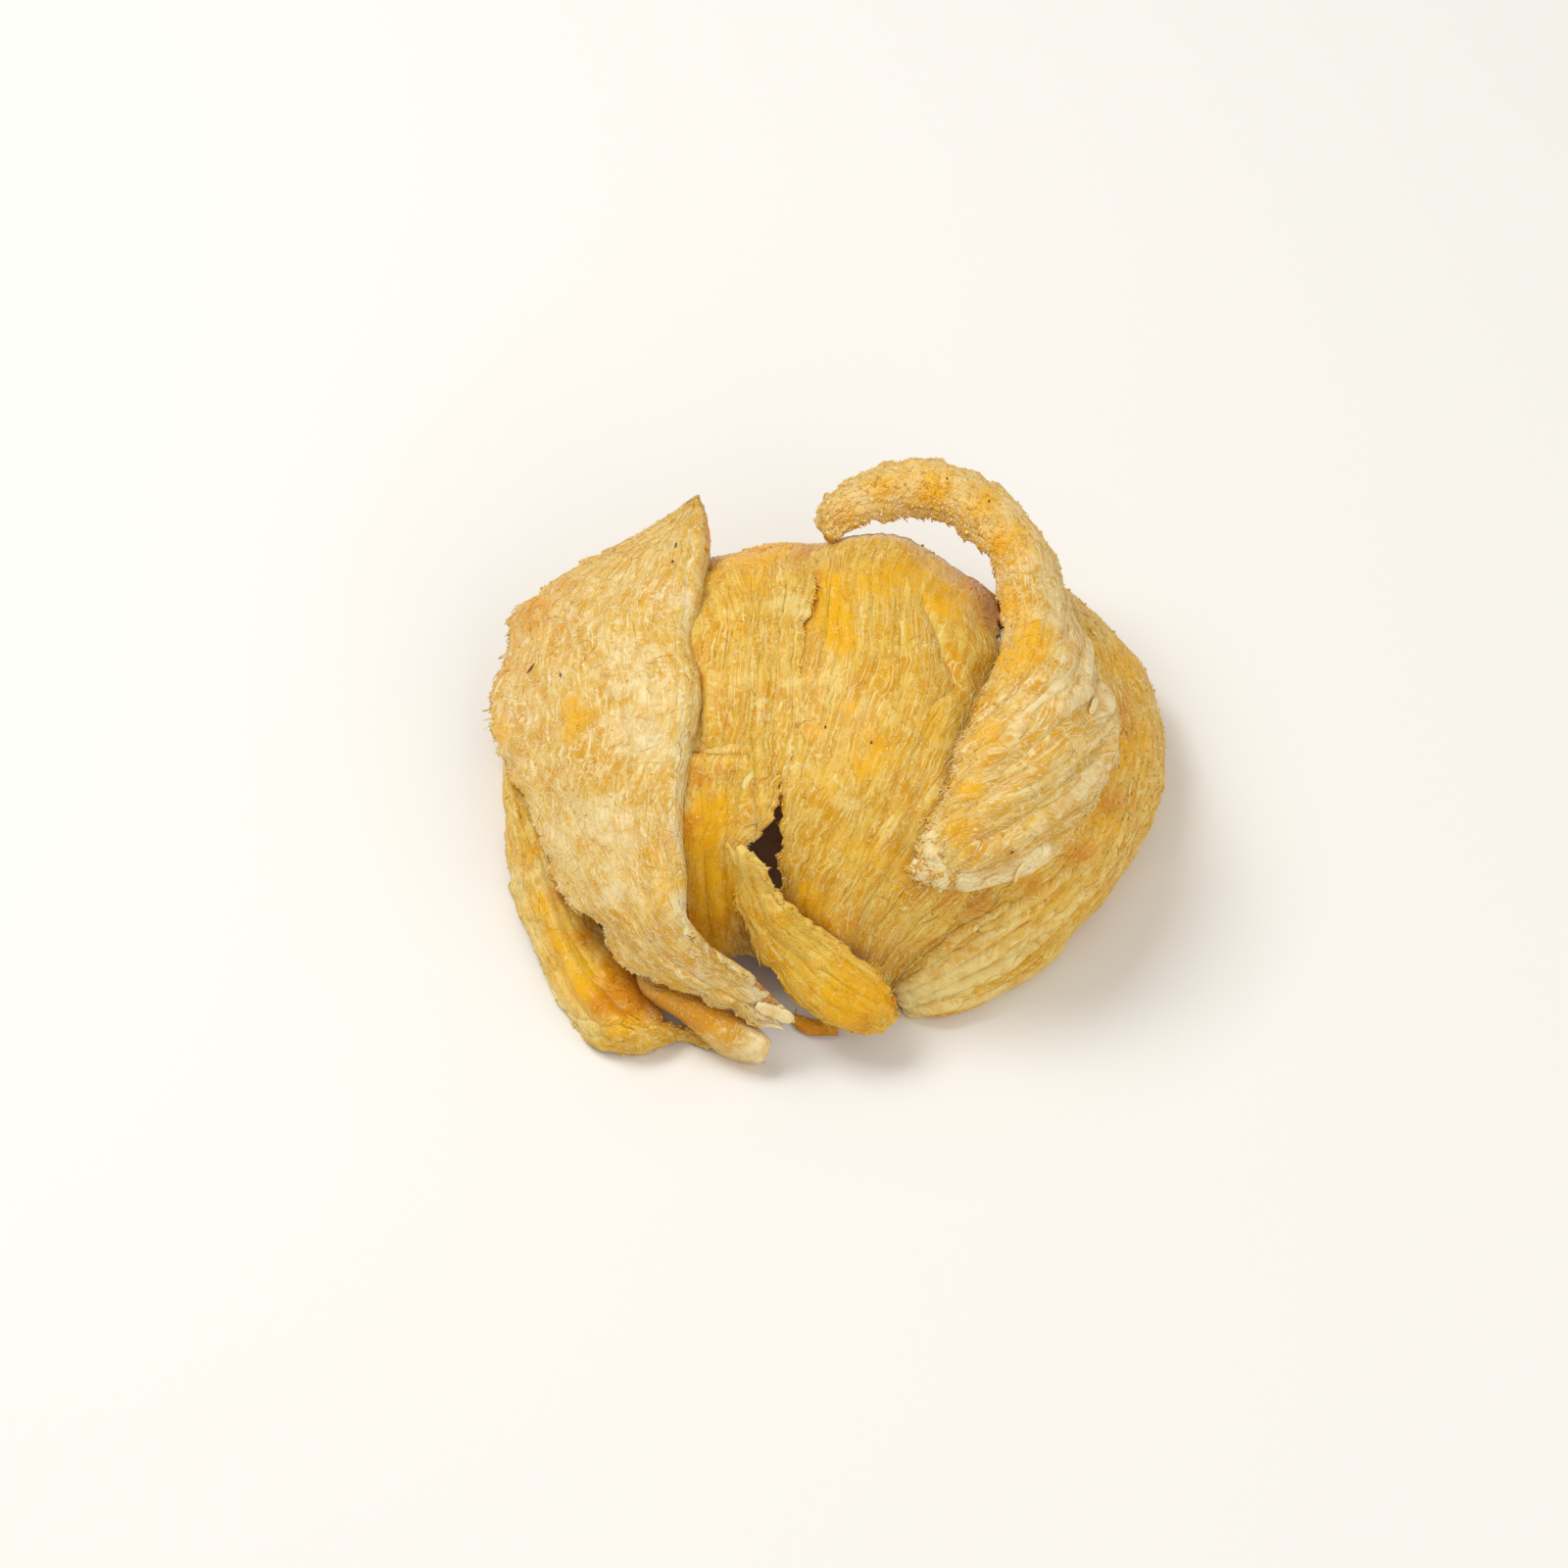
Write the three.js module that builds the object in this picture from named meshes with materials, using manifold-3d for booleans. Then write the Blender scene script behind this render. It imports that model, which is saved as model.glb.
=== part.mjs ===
// A dried edible bird's nest: a low mound of overlapping, curved sheets of hardened strands.
// Each sheet is one closed solid, drawn as rows of points that a smooth skin runs through.
import * as THREE from "three";
import Module from "manifold-3d";

const wasm = await Module();
wasm.setup();

// Driving dimensions, in millimetres.
// A point is [across, up, height]: how far right and how far up it is seen by someone who
// looks down on the nest at lookAngle, and how high it lies above the table.
const lookAngle = THREE.MathUtils.degToRad(52);
const clearance = 0.4; // between one sheet and the next
const edgeShare = 0.5; // how thick a sheet's edge is, as a share of its middle
const sideTaper = 1 / 6; // share of a sheet's width over which it thins to its edge
const endTaper = 1 / 8; // share of its length over which it thins to its ends
const bundleSway = 1.3; // how far, in radians, the strand bundles sway along a sheet
const sliver = 0.06; // edges shorter than this, left where sheets cut each other, are closed up
const tableWidth = 300; // of the block that trims the sheets level where they rest
const tableDepth = 20; // and that block's depth

// The strands' colours: pale where they dried clear, deeper where they are thick or stained.
const cream = 0xe6cb8c;
const golden = 0xe2b65c;
const amber = 0xdb9c2a;

// Every sheet: rows of points along the strands, each row from one edge across to the other.
// thick is its thickness, ridge the height of its strand bundles and bundles their number,
// fray how far its edges wander, and steps its faces along and across.
const sheets = {
  centre_dome: {
    colour: golden, thick: 3.2, ridge: 0.5, bundles: 5, fray: 0.5, steps: [20, 15],
    rows: [
      [[-4, 20, -1], [11, 23, -1], [26, 14, -1]],
      [[-4, 30, 16], [12, 34.5, 18], [30.5, 23, 13]],
      [[-3, 34.5, 29], [11, 37.5, 31], [30.5, 26, 24]],
      [[-4, 32.5, 38], [9, 33, 41.5], [30, 21, 33]],
      [[-6, 22, 42], [9, 20, 46], [30, 11, 36]],
      [[-7, 8, 41], [9, 5, 44.5], [29.5, 0, 36]],
      [[-7.6, -5, 37], [8, -8, 39.5], [28, -11, 33.5]],
      [[-8.6, -15.5, 30.5], [6, -19, 31.5], [27, -19, 28]],
      [[-7.4, -25.5, 21.5], [5, -28, 22.5], [23, -27, 20.5]],
      [[-2, -33.5, 12.5], [6, -35.5, 12], [15.5, -34.5, 12]],
      [[4, -39, 4.5], [8, -40.4, 4], [11.5, -40, 5]],
    ],
  },
  right_cup: {
    colour: golden, thick: 3.4, ridge: 0.45, bundles: 4, fray: 0.4, steps: [20, 12],
    rows: [
      [[31.5, 23, -1], [32.5, 30.5, 8], [32.5, 33, 17], [33, 31, 23]],
      [[37, 20, -1], [41, 26.5, 9], [39.5, 28.5, 18], [37, 26, 27]],
      [[42, 14, -1], [48.5, 20.5, 9.5], [46, 20, 19.5], [38, 20, 31]],
      [[46, 7, -1], [54.8, 12.5, 9], [49.5, 12, 20.5], [38, 13, 34]],
      [[48, -2, -1], [57.6, 3.5, 8], [52, 3, 20], [39, 4, 33]],
      [[48, -11, -1], [56.8, -6.5, 6.5], [50.5, -6.5, 18], [38, -5, 31.5]],
      [[45, -19, -1], [53.2, -15, 5.5], [47, -14.5, 16.5], [36, -13, 29]],
      [[40, -26, -1], [46.4, -24.5, 4.5], [41, -22, 15], [32, -18, 26.5]],
      [[33, -33.5, -1], [38.5, -32.6, 4], [34, -28.5, 13], [27, -23, 22.5]],
      [[25.5, -38.5, -1], [29.8, -39, 3.2], [26, -34.5, 10.5], [20.5, -28, 18.5]],
      [[18, -42, -1], [20.6, -43.3, 2.6], [17.5, -39, 7.5], [14, -34.5, 12]],
      [[12.8, -41.6, -0.6], [12.6, -42.6, 2.2], [11.5, -41, 4.5], [10.8, -39.6, 6]],
    ],
  },
  left_cup: {
    colour: golden, thick: 3, ridge: 0.4, bundles: 3, fray: 0.5, steps: [22, 8],
    rows: [
      [[-27, 22, -1], [-27, 27, 9], [-26, 28.5, 19]],
      [[-36, 25, -1], [-38, 30.5, 9], [-34, 31, 22]],
      [[-47, 19, -1], [-50, 23, 8], [-44, 21.5, 19]],
      [[-54.5, 4, -1], [-54, 6, 7], [-48, 3, 13]],
      [[-55, -8, 0], [-54.5, -6.5, 7.5], [-48, -8, 12]],
      [[-55.9, -15, 1], [-51.5, -15.5, 10], [-44, -17, 12]],
      [[-54.3, -24.5, 0.6], [-49, -25, 9.5], [-41, -25.5, 10]],
      [[-50.6, -34, 0.4], [-45.5, -33.8, 8], [-37, -32.5, 6.5]],
      [[-46.2, -43.5, 0.2], [-41, -41.5, 7.5], [-32, -39, 4.5]],
      [[-40.5, -50, 0], [-37, -47, 6], [-30, -43.4, 3.6]],
      [[-33, -51.2, -0.2], [-31, -48.8, 4], [-27.6, -46.3, 3.2]],
      [[-26, -49, 0.4], [-25, -48.2, 1.6], [-24, -47.3, 2.4]],
      [[-20.6, -50.8, 0.4], [-20.2, -50.3, 0.8], [-19.8, -49.8, 1.2]],
    ],
  },
  ribbed_band: {
    colour: golden, thick: 2.8, ridge: 0.5, bundles: 4, fray: 0.5, steps: [20, 12],
    rows: [
      [[-25, 17, -1], [-14, 20, -1], [-5, 20, -1]],
      [[-26, 27, 14], [-14, 31, 16], [-4.5, 30.5, 16]],
      [[-27, 31.5, 26], [-14, 35, 29], [-1.5, 36.6, 31]],
      [[-28, 29.5, 35.5], [-14, 31, 40], [-2, 31.8, 42.5]],
      [[-28.5, 21, 39], [-14, 22, 43.5], [-3.8, 23, 46]],
      [[-28.5, 10, 38.5], [-14, 10, 43], [-5, 10, 45]],
      [[-28.5, 0, 35], [-15, 0, 38.5], [-6, 0, 42]],
      [[-29, -10, 29.5], [-17, -10, 32.5], [-9.6, -10, 36.5]],
      [[-28.5, -19, 23], [-20, -19, 24.5], [-13, -18.6, 29]],
      [[-27, -27.5, 15.5], [-19, -28, 16.5], [-12.5, -28, 17.5]],
      [[-24, -33.5, 8.5], [-17, -34.8, 8.5], [-11.5, -34.3, 9.5]],
    ],
  },
  left_wing: {
    colour: cream, thick: 3, ridge: 0.5, bundles: 6, fray: 0.7, steps: [22, 15],
    rows: [
      [[-24.8, 43.4, 40], [-23.6, 44.4, 41.5], [-22.8, 45, 41.5], [-22.2, 44.6, 40]],
      [[-34.2, 37.8, 33], [-28, 38.5, 38], [-23.6, 39, 41.5], [-20.6, 36.5, 36.5]],
      [[-44.8, 32.8, 22.5], [-33, 32.5, 36], [-24.2, 31, 43], [-22.4, 27.5, 38.5]],
      [[-54, 25, 14.5], [-38, 25, 35.5], [-25.6, 22, 43.5], [-24.2, 19, 40]],
      [[-57.8, 13, 10.5], [-40, 13, 35], [-23.6, 12, 43.8], [-22.8, 9.5, 41]],
      [[-57.2, 1.5, 10], [-41, 1, 32], [-25.4, 1.5, 39.5], [-24.4, 0, 37.5]],
      [[-53.2, -8, 13], [-40, -9, 28.5], [-27, -9, 34], [-26.2, -10, 32]],
      [[-48.2, -19.2, 15.5], [-37, -19.5, 25.5], [-26, -19, 29.5], [-25, -20.5, 28]],
      [[-41.2, -28.8, 16], [-33, -28.6, 22.5], [-25.4, -27.5, 26], [-24.8, -28.6, 24.5]],
      [[-32, -37.7, 13.5], [-26, -35.6, 18.5], [-21.2, -33.3, 21.5], [-20.6, -34.2, 20.5]],
      [[-20, -43.2, 11], [-17, -41.3, 13.5], [-13.5, -38.8, 16], [-13, -39.4, 15]],
      [[-9.5, -47.6, 8.5], [-8.2, -46.6, 9.2], [-6.8, -45.3, 10], [-6.4, -45.2, 10]],
    ],
  },
  left_foot: {
    colour: cream, thick: 4.6, ridge: 0.3, bundles: 2, fray: 0.4, steps: [9, 6],
    rows: [
      [[-29.4, -39, 10], [-28, -40.6, 10.5], [-26.5, -42.2, 8.5]],
      [[-22.5, -42.6, 8], [-22.3, -44.6, 8], [-22.2, -46.6, 3.6]],
      [[-15.8, -45.7, 6], [-16.5, -48.3, 6.2], [-18.3, -50.6, 0.6]],
      [[-11.6, -48.6, 5], [-12.2, -50.2, 4.8], [-14, -51.9, 0.4]],
      [[-10.6, -50, 4.5], [-11, -50.6, 4.2], [-11.8, -51.3, 0.8]],
    ],
  },
  curled_wing: {
    colour: cream, thick: 4.2, ridge: 0.5, bundles: 4, fray: 0.7, steps: [30, 11],
    rows: [
      [[-1.9, 40.3, 36.5], [-1, 38.8, 37], [0, 36.9, 38]],
      [[0, 44.8, 37.5], [2, 42.3, 38.5], [4.5, 39.3, 38.5]],
      [[7, 49.5, 38.5], [8, 45.3, 40], [9, 41, 38.5]],
      [[14.8, 51.6, 38.5], [14.6, 46.8, 40.5], [14.5, 42, 38]],
      [[22.2, 50.4, 37.5], [20.8, 45.8, 40], [19.5, 41, 37.5]],
      [[29.4, 46.8, 36], [26.8, 42, 39.5], [24.3, 37.2, 37]],
      [[35.6, 40.6, 34], [32, 37.5, 39], [28.7, 33, 37.5]],
      [[40, 32, 31.5], [35, 30.5, 39], [29.9, 27, 38]],
      [[42.6, 23.5, 29], [37, 22, 41], [30.2, 19.5, 40.5]],
      [[46.2, 14, 27.5], [38, 13.5, 43], [27.8, 12.5, 42.5]],
      [[49.8, 6.3, 28], [38.5, 5.5, 43], [25, 7, 43.5]],
      [[49, -1.5, 29.5], [36.5, -2, 41.5], [21.8, 0, 42.5]],
      [[45.6, -8.8, 30.5], [33.5, -9, 39], [19.4, -7.5, 39.5]],
      [[40.4, -16.2, 30.5], [29.5, -15.5, 35.5], [16, -14, 36]],
      [[31, -20.4, 29.5], [23.5, -19.8, 32], [14.4, -19, 32.8]],
      [[22, -21.9, 28.5], [18.5, -22, 29.5], [15.2, -21.8, 30.3]],
    ],
  },
  front_tongue: {
    colour: amber, thick: 3.2, ridge: 0.3, bundles: 2, fray: 0.5, steps: [14, 8],
    rows: [
      [[-17.2, -15.4, 30.6], [-15.3, -15.8, 32.2], [-13, -16.6, 34.2]],
      [[-16, -23, 24.5], [-12.8, -22.8, 27], [-9.4, -22.2, 29]],
      [[-14.2, -30, 19.5], [-10, -28.5, 23], [-5, -27.5, 25]],
      [[-9.4, -37.5, 14.5], [-4.5, -34.8, 18.5], [1.6, -31.7, 20.5]],
      [[-3.6, -44.3, 10], [2, -41, 14.5], [7.5, -37, 15.8]],
      [[4.2, -47.6, 7], [8, -45.2, 10], [11, -41.9, 11.8]],
      [[8.9, -47.6, 6], [10.4, -46.6, 7], [11.6, -45, 8]],
    ],
  },
  under_scrap: {
    colour: amber, thick: 2, ridge: 0.15, bundles: 1, fray: 0.3, steps: [8, 5],
    rows: [
      [[-8, -44, 3], [-7, -45, 2.4], [-6, -46, 1.6]],
      [[-3.4, -45.5, 2.6], [-3.4, -47, 1.6], [-3.4, -48.3, 0.2]],
      [[1.5, -46.5, 2.2], [1.5, -47.5, 1.2], [1.5, -48.3, 0.4]],
    ],
  },
};

// The place above the table of a point seen across, up and at a height.
function place([across, up, height]) {
  const back = (up - height * Math.cos(lookAngle)) / Math.sin(lookAngle);
  return new THREE.Vector3(across, back, height);
}

// A number between -1 and 1 that is the same each time for the same seed.
function scatter(seed) {
  const s = Math.sin(seed * 127.1 + 311.7) * 43758.5453;
  return 2 * (s - Math.floor(s)) - 1;
}

// The middle surface of a sheet as a grid of points, with its edges frayed.
function middleGrid({ rows, steps: [along, across], fray }) {
  const rails = rows[0].map((_, k) => new THREE.CatmullRomCurve3(rows.map((row) => place(row[k]))));
  const grid = [];
  for (let i = 0; i <= along; i++) {
    const rib = new THREE.CatmullRomCurve3(rails.map((rail) => rail.getPoint(i / along)));
    const line = [];
    for (let j = 0; j <= across; j++) line.push(rib.getPoint(j / across));
    grid.push(line);
  }
  for (let i = 0; i <= along; i++) {
    const outward = new THREE.Vector3().subVectors(grid[i][across], grid[i][across - 1]).normalize();
    const inward = new THREE.Vector3().subVectors(grid[i][0], grid[i][1]).normalize();
    grid[i][across].addScaledVector(outward, fray * scatter(i + 3 * along));
    grid[i][0].addScaledVector(inward, fray * scatter(2 * i + along));
  }
  return grid;
}

// Which way the sheet faces at one point of its grid, and which way its rim lies from there.
function facing(grid, i, j) {
  const before = grid[Math.max(i - 1, 0)][j];
  const after = grid[Math.min(i + 1, grid.length - 1)][j];
  const left = grid[i][Math.max(j - 1, 0)];
  const right = grid[i][Math.min(j + 1, grid[i].length - 1)];
  const lengthwise = new THREE.Vector3().subVectors(after, before).normalize();
  const crosswise = new THREE.Vector3().subVectors(right, left).normalize();
  const rim = new THREE.Vector3();
  if (i === 0) rim.sub(lengthwise);
  if (i === grid.length - 1) rim.add(lengthwise);
  if (j === 0) rim.sub(crosswise);
  if (j === grid[i].length - 1) rim.add(crosswise);
  return { normal: new THREE.Vector3().crossVectors(crosswise, lengthwise).normalize(), rim };
}

// One sheet as a solid, built cell by cell so that a tight curl can't fold through itself.
// grow swells it all round, to cut its neighbours clear of it.
function sheetSolid(sheet, grow = 0) {
  const { thick, ridge, bundles, steps: [along, across] } = sheet;
  const grid = middleGrid(sheet);
  const skins = [1, -1].map((side) => grid.map((line, i) => line.map((middle, j) => {
    const u = i / along;
    const v = j / across;
    const { normal, rim } = facing(grid, i, j);
    const inFromSides = Math.min(v, 1 - v) / sideTaper;
    const inFromEnds = Math.min(u, 1 - u) / endTaper;
    const inFromEdge = Math.min(1, inFromSides, inFromEnds);
    const body = thick * (edgeShare + (1 - edgeShare) * Math.sqrt(inFromEdge));
    const sway = bundleSway * (Math.sin(5 * u + side) + 0.5 * Math.sin(11 * u));
    const bundle = ridge * inFromEdge * Math.sin(2 * Math.PI * bundles * v + sway);
    const lift = side * (body / 2 + grow) + bundle;
    return middle.clone().addScaledVector(normal, lift).addScaledVector(rim, grow).toArray();
  })));
  const cells = [];
  for (let i = 0; i < along; i++) {
    for (let j = 0; j < across; j++) {
      const corners = skins.flatMap((skin) => [skin[i][j], skin[i][j + 1], skin[i + 1][j], skin[i + 1][j + 1]]);
      cells.push(wasm.Manifold.hull(corners));
    }
  }
  return wasm.Manifold.union(cells).simplify(sliver);
}

// A solid's geometry, for its mesh.
function toGeometry(solid) {
  const mesh = solid.getMesh();
  return new THREE.BufferGeometry()
    .setAttribute("position", new THREE.BufferAttribute(mesh.vertProperties, 3))
    .setIndex(new THREE.BufferAttribute(mesh.triVerts, 1));
}

// The largest body of a solid: a cut can leave crumbs at a frayed edge.
function largest(solid) {
  return solid.decompose().reduce((best, body) => (body.volume() > best.volume() ? body : best));
}

const nest = new THREE.Group();
const mound = new THREE.Group();
nest.add(mound);

const table = wasm.Manifold.cube([tableWidth, tableWidth, tableDepth], true)
  .translate([0, 0, -tableDepth / 2]);
const laid = [];
for (const [name, sheet] of Object.entries(sheets)) {
  let solid = sheetSolid(sheet).subtract(table);
  for (const under of laid) solid = solid.subtract(under);
  const material = new THREE.MeshStandardMaterial({ color: sheet.colour, roughness: 0.5, metalness: 0 });
  const mesh = new THREE.Mesh(toGeometry(largest(solid).simplify(sliver)), material);
  mesh.name = name;
  mound.add(mesh);
  laid.push(sheetSolid(sheet, clearance));
}

// The origin is under the middle of the nest, on the table.
const box = new THREE.Box3().setFromObject(mound);
mound.position.set(-(box.min.x + box.max.x) / 2, -(box.min.y + box.max.y) / 2, -box.min.z);

export default nest;
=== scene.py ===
# An edible bird's nest, dried in long curved sheets of hardened strands.
import math

import bpy
import numpy as np
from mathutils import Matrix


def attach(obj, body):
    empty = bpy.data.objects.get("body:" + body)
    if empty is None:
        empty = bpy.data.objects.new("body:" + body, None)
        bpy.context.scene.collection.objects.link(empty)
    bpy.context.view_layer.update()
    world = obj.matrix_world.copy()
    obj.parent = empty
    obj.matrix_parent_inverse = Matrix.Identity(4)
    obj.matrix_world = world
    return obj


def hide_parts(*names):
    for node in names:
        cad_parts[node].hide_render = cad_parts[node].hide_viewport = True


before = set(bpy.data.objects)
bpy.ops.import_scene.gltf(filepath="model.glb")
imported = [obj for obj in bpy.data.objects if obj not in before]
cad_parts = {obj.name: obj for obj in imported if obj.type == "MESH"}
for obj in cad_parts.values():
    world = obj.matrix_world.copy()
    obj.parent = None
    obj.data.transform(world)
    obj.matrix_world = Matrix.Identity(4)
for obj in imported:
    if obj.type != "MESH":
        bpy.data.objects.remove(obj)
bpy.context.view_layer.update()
print("frame loaded")

mm = 0.001
lookAngle = math.radians(52)  # how far the camera looks down
moundShift = (-0.696, 17.136)  # mm, puts the middle of the nest over the origin


def linear(hexColour):
    # sRGB hex to the linear numbers that the shaders take
    values = [int(hexColour[i:i + 2], 16) / 255 for i in (1, 3, 5)]
    return tuple(v / 12.92 if v <= 0.04045 else ((v + 0.055) / 1.055) ** 2.4 for v in values) + (1,)


def addNode(tree, kind, inputs=None, **settings):
    # adds a node, sets its properties, and fills each socket with a value or a link
    node = tree.nodes.new(kind)
    for name, value in settings.items():
        setattr(node, name, value)
    for socket, value in (inputs or {}).items():
        if isinstance(value, bpy.types.NodeSocket):
            tree.links.new(value, node.inputs[socket])
        else:
            node.inputs[socket].default_value = value
    return node


def place(points):
    # points seen across, up and at a height, in mm, to metres in the nest's own frame
    p = np.asarray(points, float)
    back = (p[..., 1] - p[..., 2] * math.cos(lookAngle)) / math.sin(lookAngle)
    return np.stack([p[..., 0] + moundShift[0], back + moundShift[1], p[..., 2]], -1) * mm


def seenAt(co):
    # the other way round: where a place in metres is seen, across and up, in mm
    across = co[..., 0] / mm - moundShift[0]
    back = co[..., 1] / mm - moundShift[1]
    return across, back * math.sin(lookAngle) + co[..., 2] / mm * math.cos(lookAngle)


# camera, lights and floor
studio = {
    "frameWidth": 275.3,   # mm that the picture takes in at the nest
    "distance": 2000,      # mm from the camera to the nest
    "aim": (-7.65, -5.1),  # mm, right and up from the nest's middle in the picture
    "lamps": (             # where and how large in metres, and power in watts
        ((-0.4, 0.2, 0.8), 0.45, 4.6),    # a large soft key behind the nest's left shoulder
        ((0.5, -0.55, 0.55), 0.8, 2.5)),  # a weak fill in front
    "skyColour": (1, 0.975, 0.92, 1),
    "skyStrength": 0.53,
    "floorHex": "#F2F0EC",
    "floorSize": 6,        # metres
    "sensorWidth": 36,     # mm in the camera
}


def makeStudio():
    aim = place([[studio["aim"][0], studio["aim"][1], 0]])[0]
    back = np.array([0, -math.cos(lookAngle), math.sin(lookAngle)])
    bpy.ops.object.camera_add(location=aim + back * studio["distance"] * mm,
                              rotation=(math.pi / 2 - lookAngle, 0, 0))
    camera = bpy.context.object
    camera.data.sensor_width = studio["sensorWidth"]
    camera.data.lens = studio["sensorWidth"] * studio["distance"] / studio["frameWidth"]
    camera.data.clip_start = 0.05
    bpy.context.scene.camera = camera

    for spot, size, power in studio["lamps"]:
        bpy.ops.object.light_add(type="AREA", location=spot)
        lamp = bpy.context.object
        lamp.data.size = size
        lamp.data.energy = power
        lamp.rotation_euler = (-lamp.location).to_track_quat("-Z", "Y").to_euler()

    world = bpy.data.worlds.new("softSky")
    bpy.context.scene.world = world
    world.use_nodes = True
    sky = world.node_tree.nodes["Background"]
    sky.inputs["Color"].default_value = studio["skyColour"]
    sky.inputs["Strength"].default_value = studio["skyStrength"]
    bpy.context.scene.view_settings.view_transform = "Standard"

    bpy.ops.object.select_all(action="DESELECT")
    bpy.ops.mesh.primitive_plane_add(size=studio["floorSize"])
    floor = bpy.context.object
    floor.name = "floor"
    paper = bpy.data.materials.new("matt paper floor")
    paper.use_nodes = True
    shader = paper.node_tree.nodes["Principled BSDF"]
    shader.inputs["Base Color"].default_value = linear(studio["floorHex"])
    shader.inputs["Roughness"].default_value = 0.8
    floor.data.materials.append(paper)


makeStudio()
print("studio ready")


# smooth curves and noise
def unit(vectors):
    return vectors / (np.linalg.norm(vectors, axis=-1, keepdims=True) + 1e-12)


def smoothCurve(points, t):
    # a centripetal curve through points, read at shares t of the way; each share has its own
    # column of points, or all share the only column
    ends = np.concatenate([2 * points[:1] - points[1:2], points, 2 * points[-1:] - points[-2:-1]])
    way = (len(points) - 1) * t
    step = np.clip(np.floor(way).astype(int), 0, len(points) - 2)
    w = (way - step).reshape((len(t),) + (1,) * (ends.ndim - 2))
    column = np.arange(len(t)) if ends.shape[1] > 1 else 0
    a, b, c, d = (ends[step + k, column] for k in range(4))
    ab, bc, cd = (np.sqrt(np.linalg.norm(q - p, axis=-1, keepdims=True)) + 1e-9
                  for p, q in ((a, b), (b, c), (c, d)))
    enter = ((b - a) / ab - (c - a) / (ab + bc) + (c - b) / bc) * bc
    leave = ((c - b) / bc - (d - b) / (bc + cd) + (d - c) / cd) * bc
    return b + w * (enter + w * (3 * (c - b) - 2 * enter - leave + w * (2 * (b - c) + enter + leave)))


def onSheet(form, u, v):
    # the sheet's middle surface at shares u along and v across, each a grid of values
    rows = place(np.reshape(form["rows"], (len(form["rows"]), -1, 3)))
    rails = smoothCurve(rows[:, None], u.ravel())
    return smoothCurve(np.swapaxes(rails, 0, 1), v.ravel()).reshape(u.shape + (3,))


def noise(seed, *coords):
    # smooth random values from -1 to 1 over two or three coordinates, from whole numbers mixed
    # by large primes
    cells = [np.floor(c).astype(np.int64) for c in coords]
    parts = [c - k for c, k in zip(coords, cells)]
    parts = [p * p * (3 - 2 * p) for p in parts]
    total = 0
    for corner in range(2 ** len(coords)):
        mixed = np.full(cells[0].shape, seed * 982451653, np.int64)
        weight = 1
        for k, (cell, part) in enumerate(zip(cells, parts)):
            bit = corner >> k & 1
            mixed = mixed + (cell + bit) * (374761393, 668265263, 2147483647)[k]
            weight = weight * (part if bit else 1 - part)
        mixed = (mixed ^ (mixed >> 13)) * 1274126177 & 0xFFFFFFFF
        total = total + weight * (((mixed ^ (mixed >> 16)) & 0xFFFF) / 32767.5 - 1)
    return total


def spotMask(co, spots):
    # soft patches, each (across, up, radius, strength) in mm as seen
    x, up = seenAt(co)
    mask = np.zeros(x.shape)
    for spotX, spotUp, radius, strength in spots:
        mask += strength * np.exp(-((x - spotX) ** 2 + (up - spotUp) ** 2) / radius ** 2)
    return np.clip(mask, 0, 1)


def foldRelief(co, folds):
    # ridges and creases along lines drawn as seen, each (line, width, height) in mm
    x, up = seenAt(co)
    relief = np.zeros(x.shape)
    for line, wide, high in folds:
        nearest = np.full(x.shape, 1e9)
        for ax, ay, bx, by in zip(line[::2], line[1::2], line[2::2], line[3::2]):
            dx, dy = bx - ax, by - ay
            t = np.clip(((x - ax) * dx + (up - ay) * dy) / (dx * dx + dy * dy), 0, 1)
            nearest = np.minimum(nearest, np.hypot(x - ax - t * dx, up - ay - t * dy))
        relief += high * np.exp(-(nearest / wide) ** 2)
    return relief


def softBoxes(co, boxes):
    # sunk areas with soft, uneven sides, each (left, right, low, high, depth) in mm as seen
    softSide = 1.2  # mm
    x, up = seenAt(co)
    x, up = x + 0.9 * noise(5, up / 3.5, x / 9), up + 0.8 * noise(6, x / 3, up / 9)
    sunk = np.zeros(x.shape)
    for left, right, low, high, depth in boxes:
        inside = np.minimum(np.minimum(x - left, right - x), np.minimum(up - low, high - up))
        share = np.clip(inside / softSide, 0, 1)
        sunk = np.maximum(sunk, depth * share * share * (3 - 2 * share))
    return sunk


def driftOf(form, share):
    # how far, in mm, the strands have drifted across the sheet at a share of its length
    return np.interp(share, *form["drift"])


# the sheets
strandPatterns = {  # seed step, mm along the strands and mm across them
    "sway": (0, 17, 8), "flutter": (1, 7, 3), "broad": (8, 30, 5.5), "wide": (2, 36, 2.4),
    "narrow": (3, 26, 1.05), "fine": (4, 13, 0.5), "calm": (9, 9, 6),
}
grainPatterns = {  # seed step, mm each way and share of the height
    "lump": ((5, 9, 1), (15, 4.2, 0.5)),
    "crumb": ((6, 2.2, 0.7), (7, 1.1, 0.55), (13, 0.6, 0.4)),
}
frayPatterns = (  # seed step, mm along the rim, share of the height and the least it may be
    (10, 7, 0.6, -1), (11, 2.4, 1, -1), (12, 1.2, 0.8, -0.1))
rimFade = 2.5     # mm from the rim in which the relief grows to its full height
frillWidth = 0.9  # mm of whitish, frayed rim
underFade = 2     # mm from the rim in which the painted shade on the lower skin grows
leastReach = 4    # mm of width that the fray of the long edges counts on
thickLevels = 10  # steps from the rim's thickness to the full one


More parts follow.
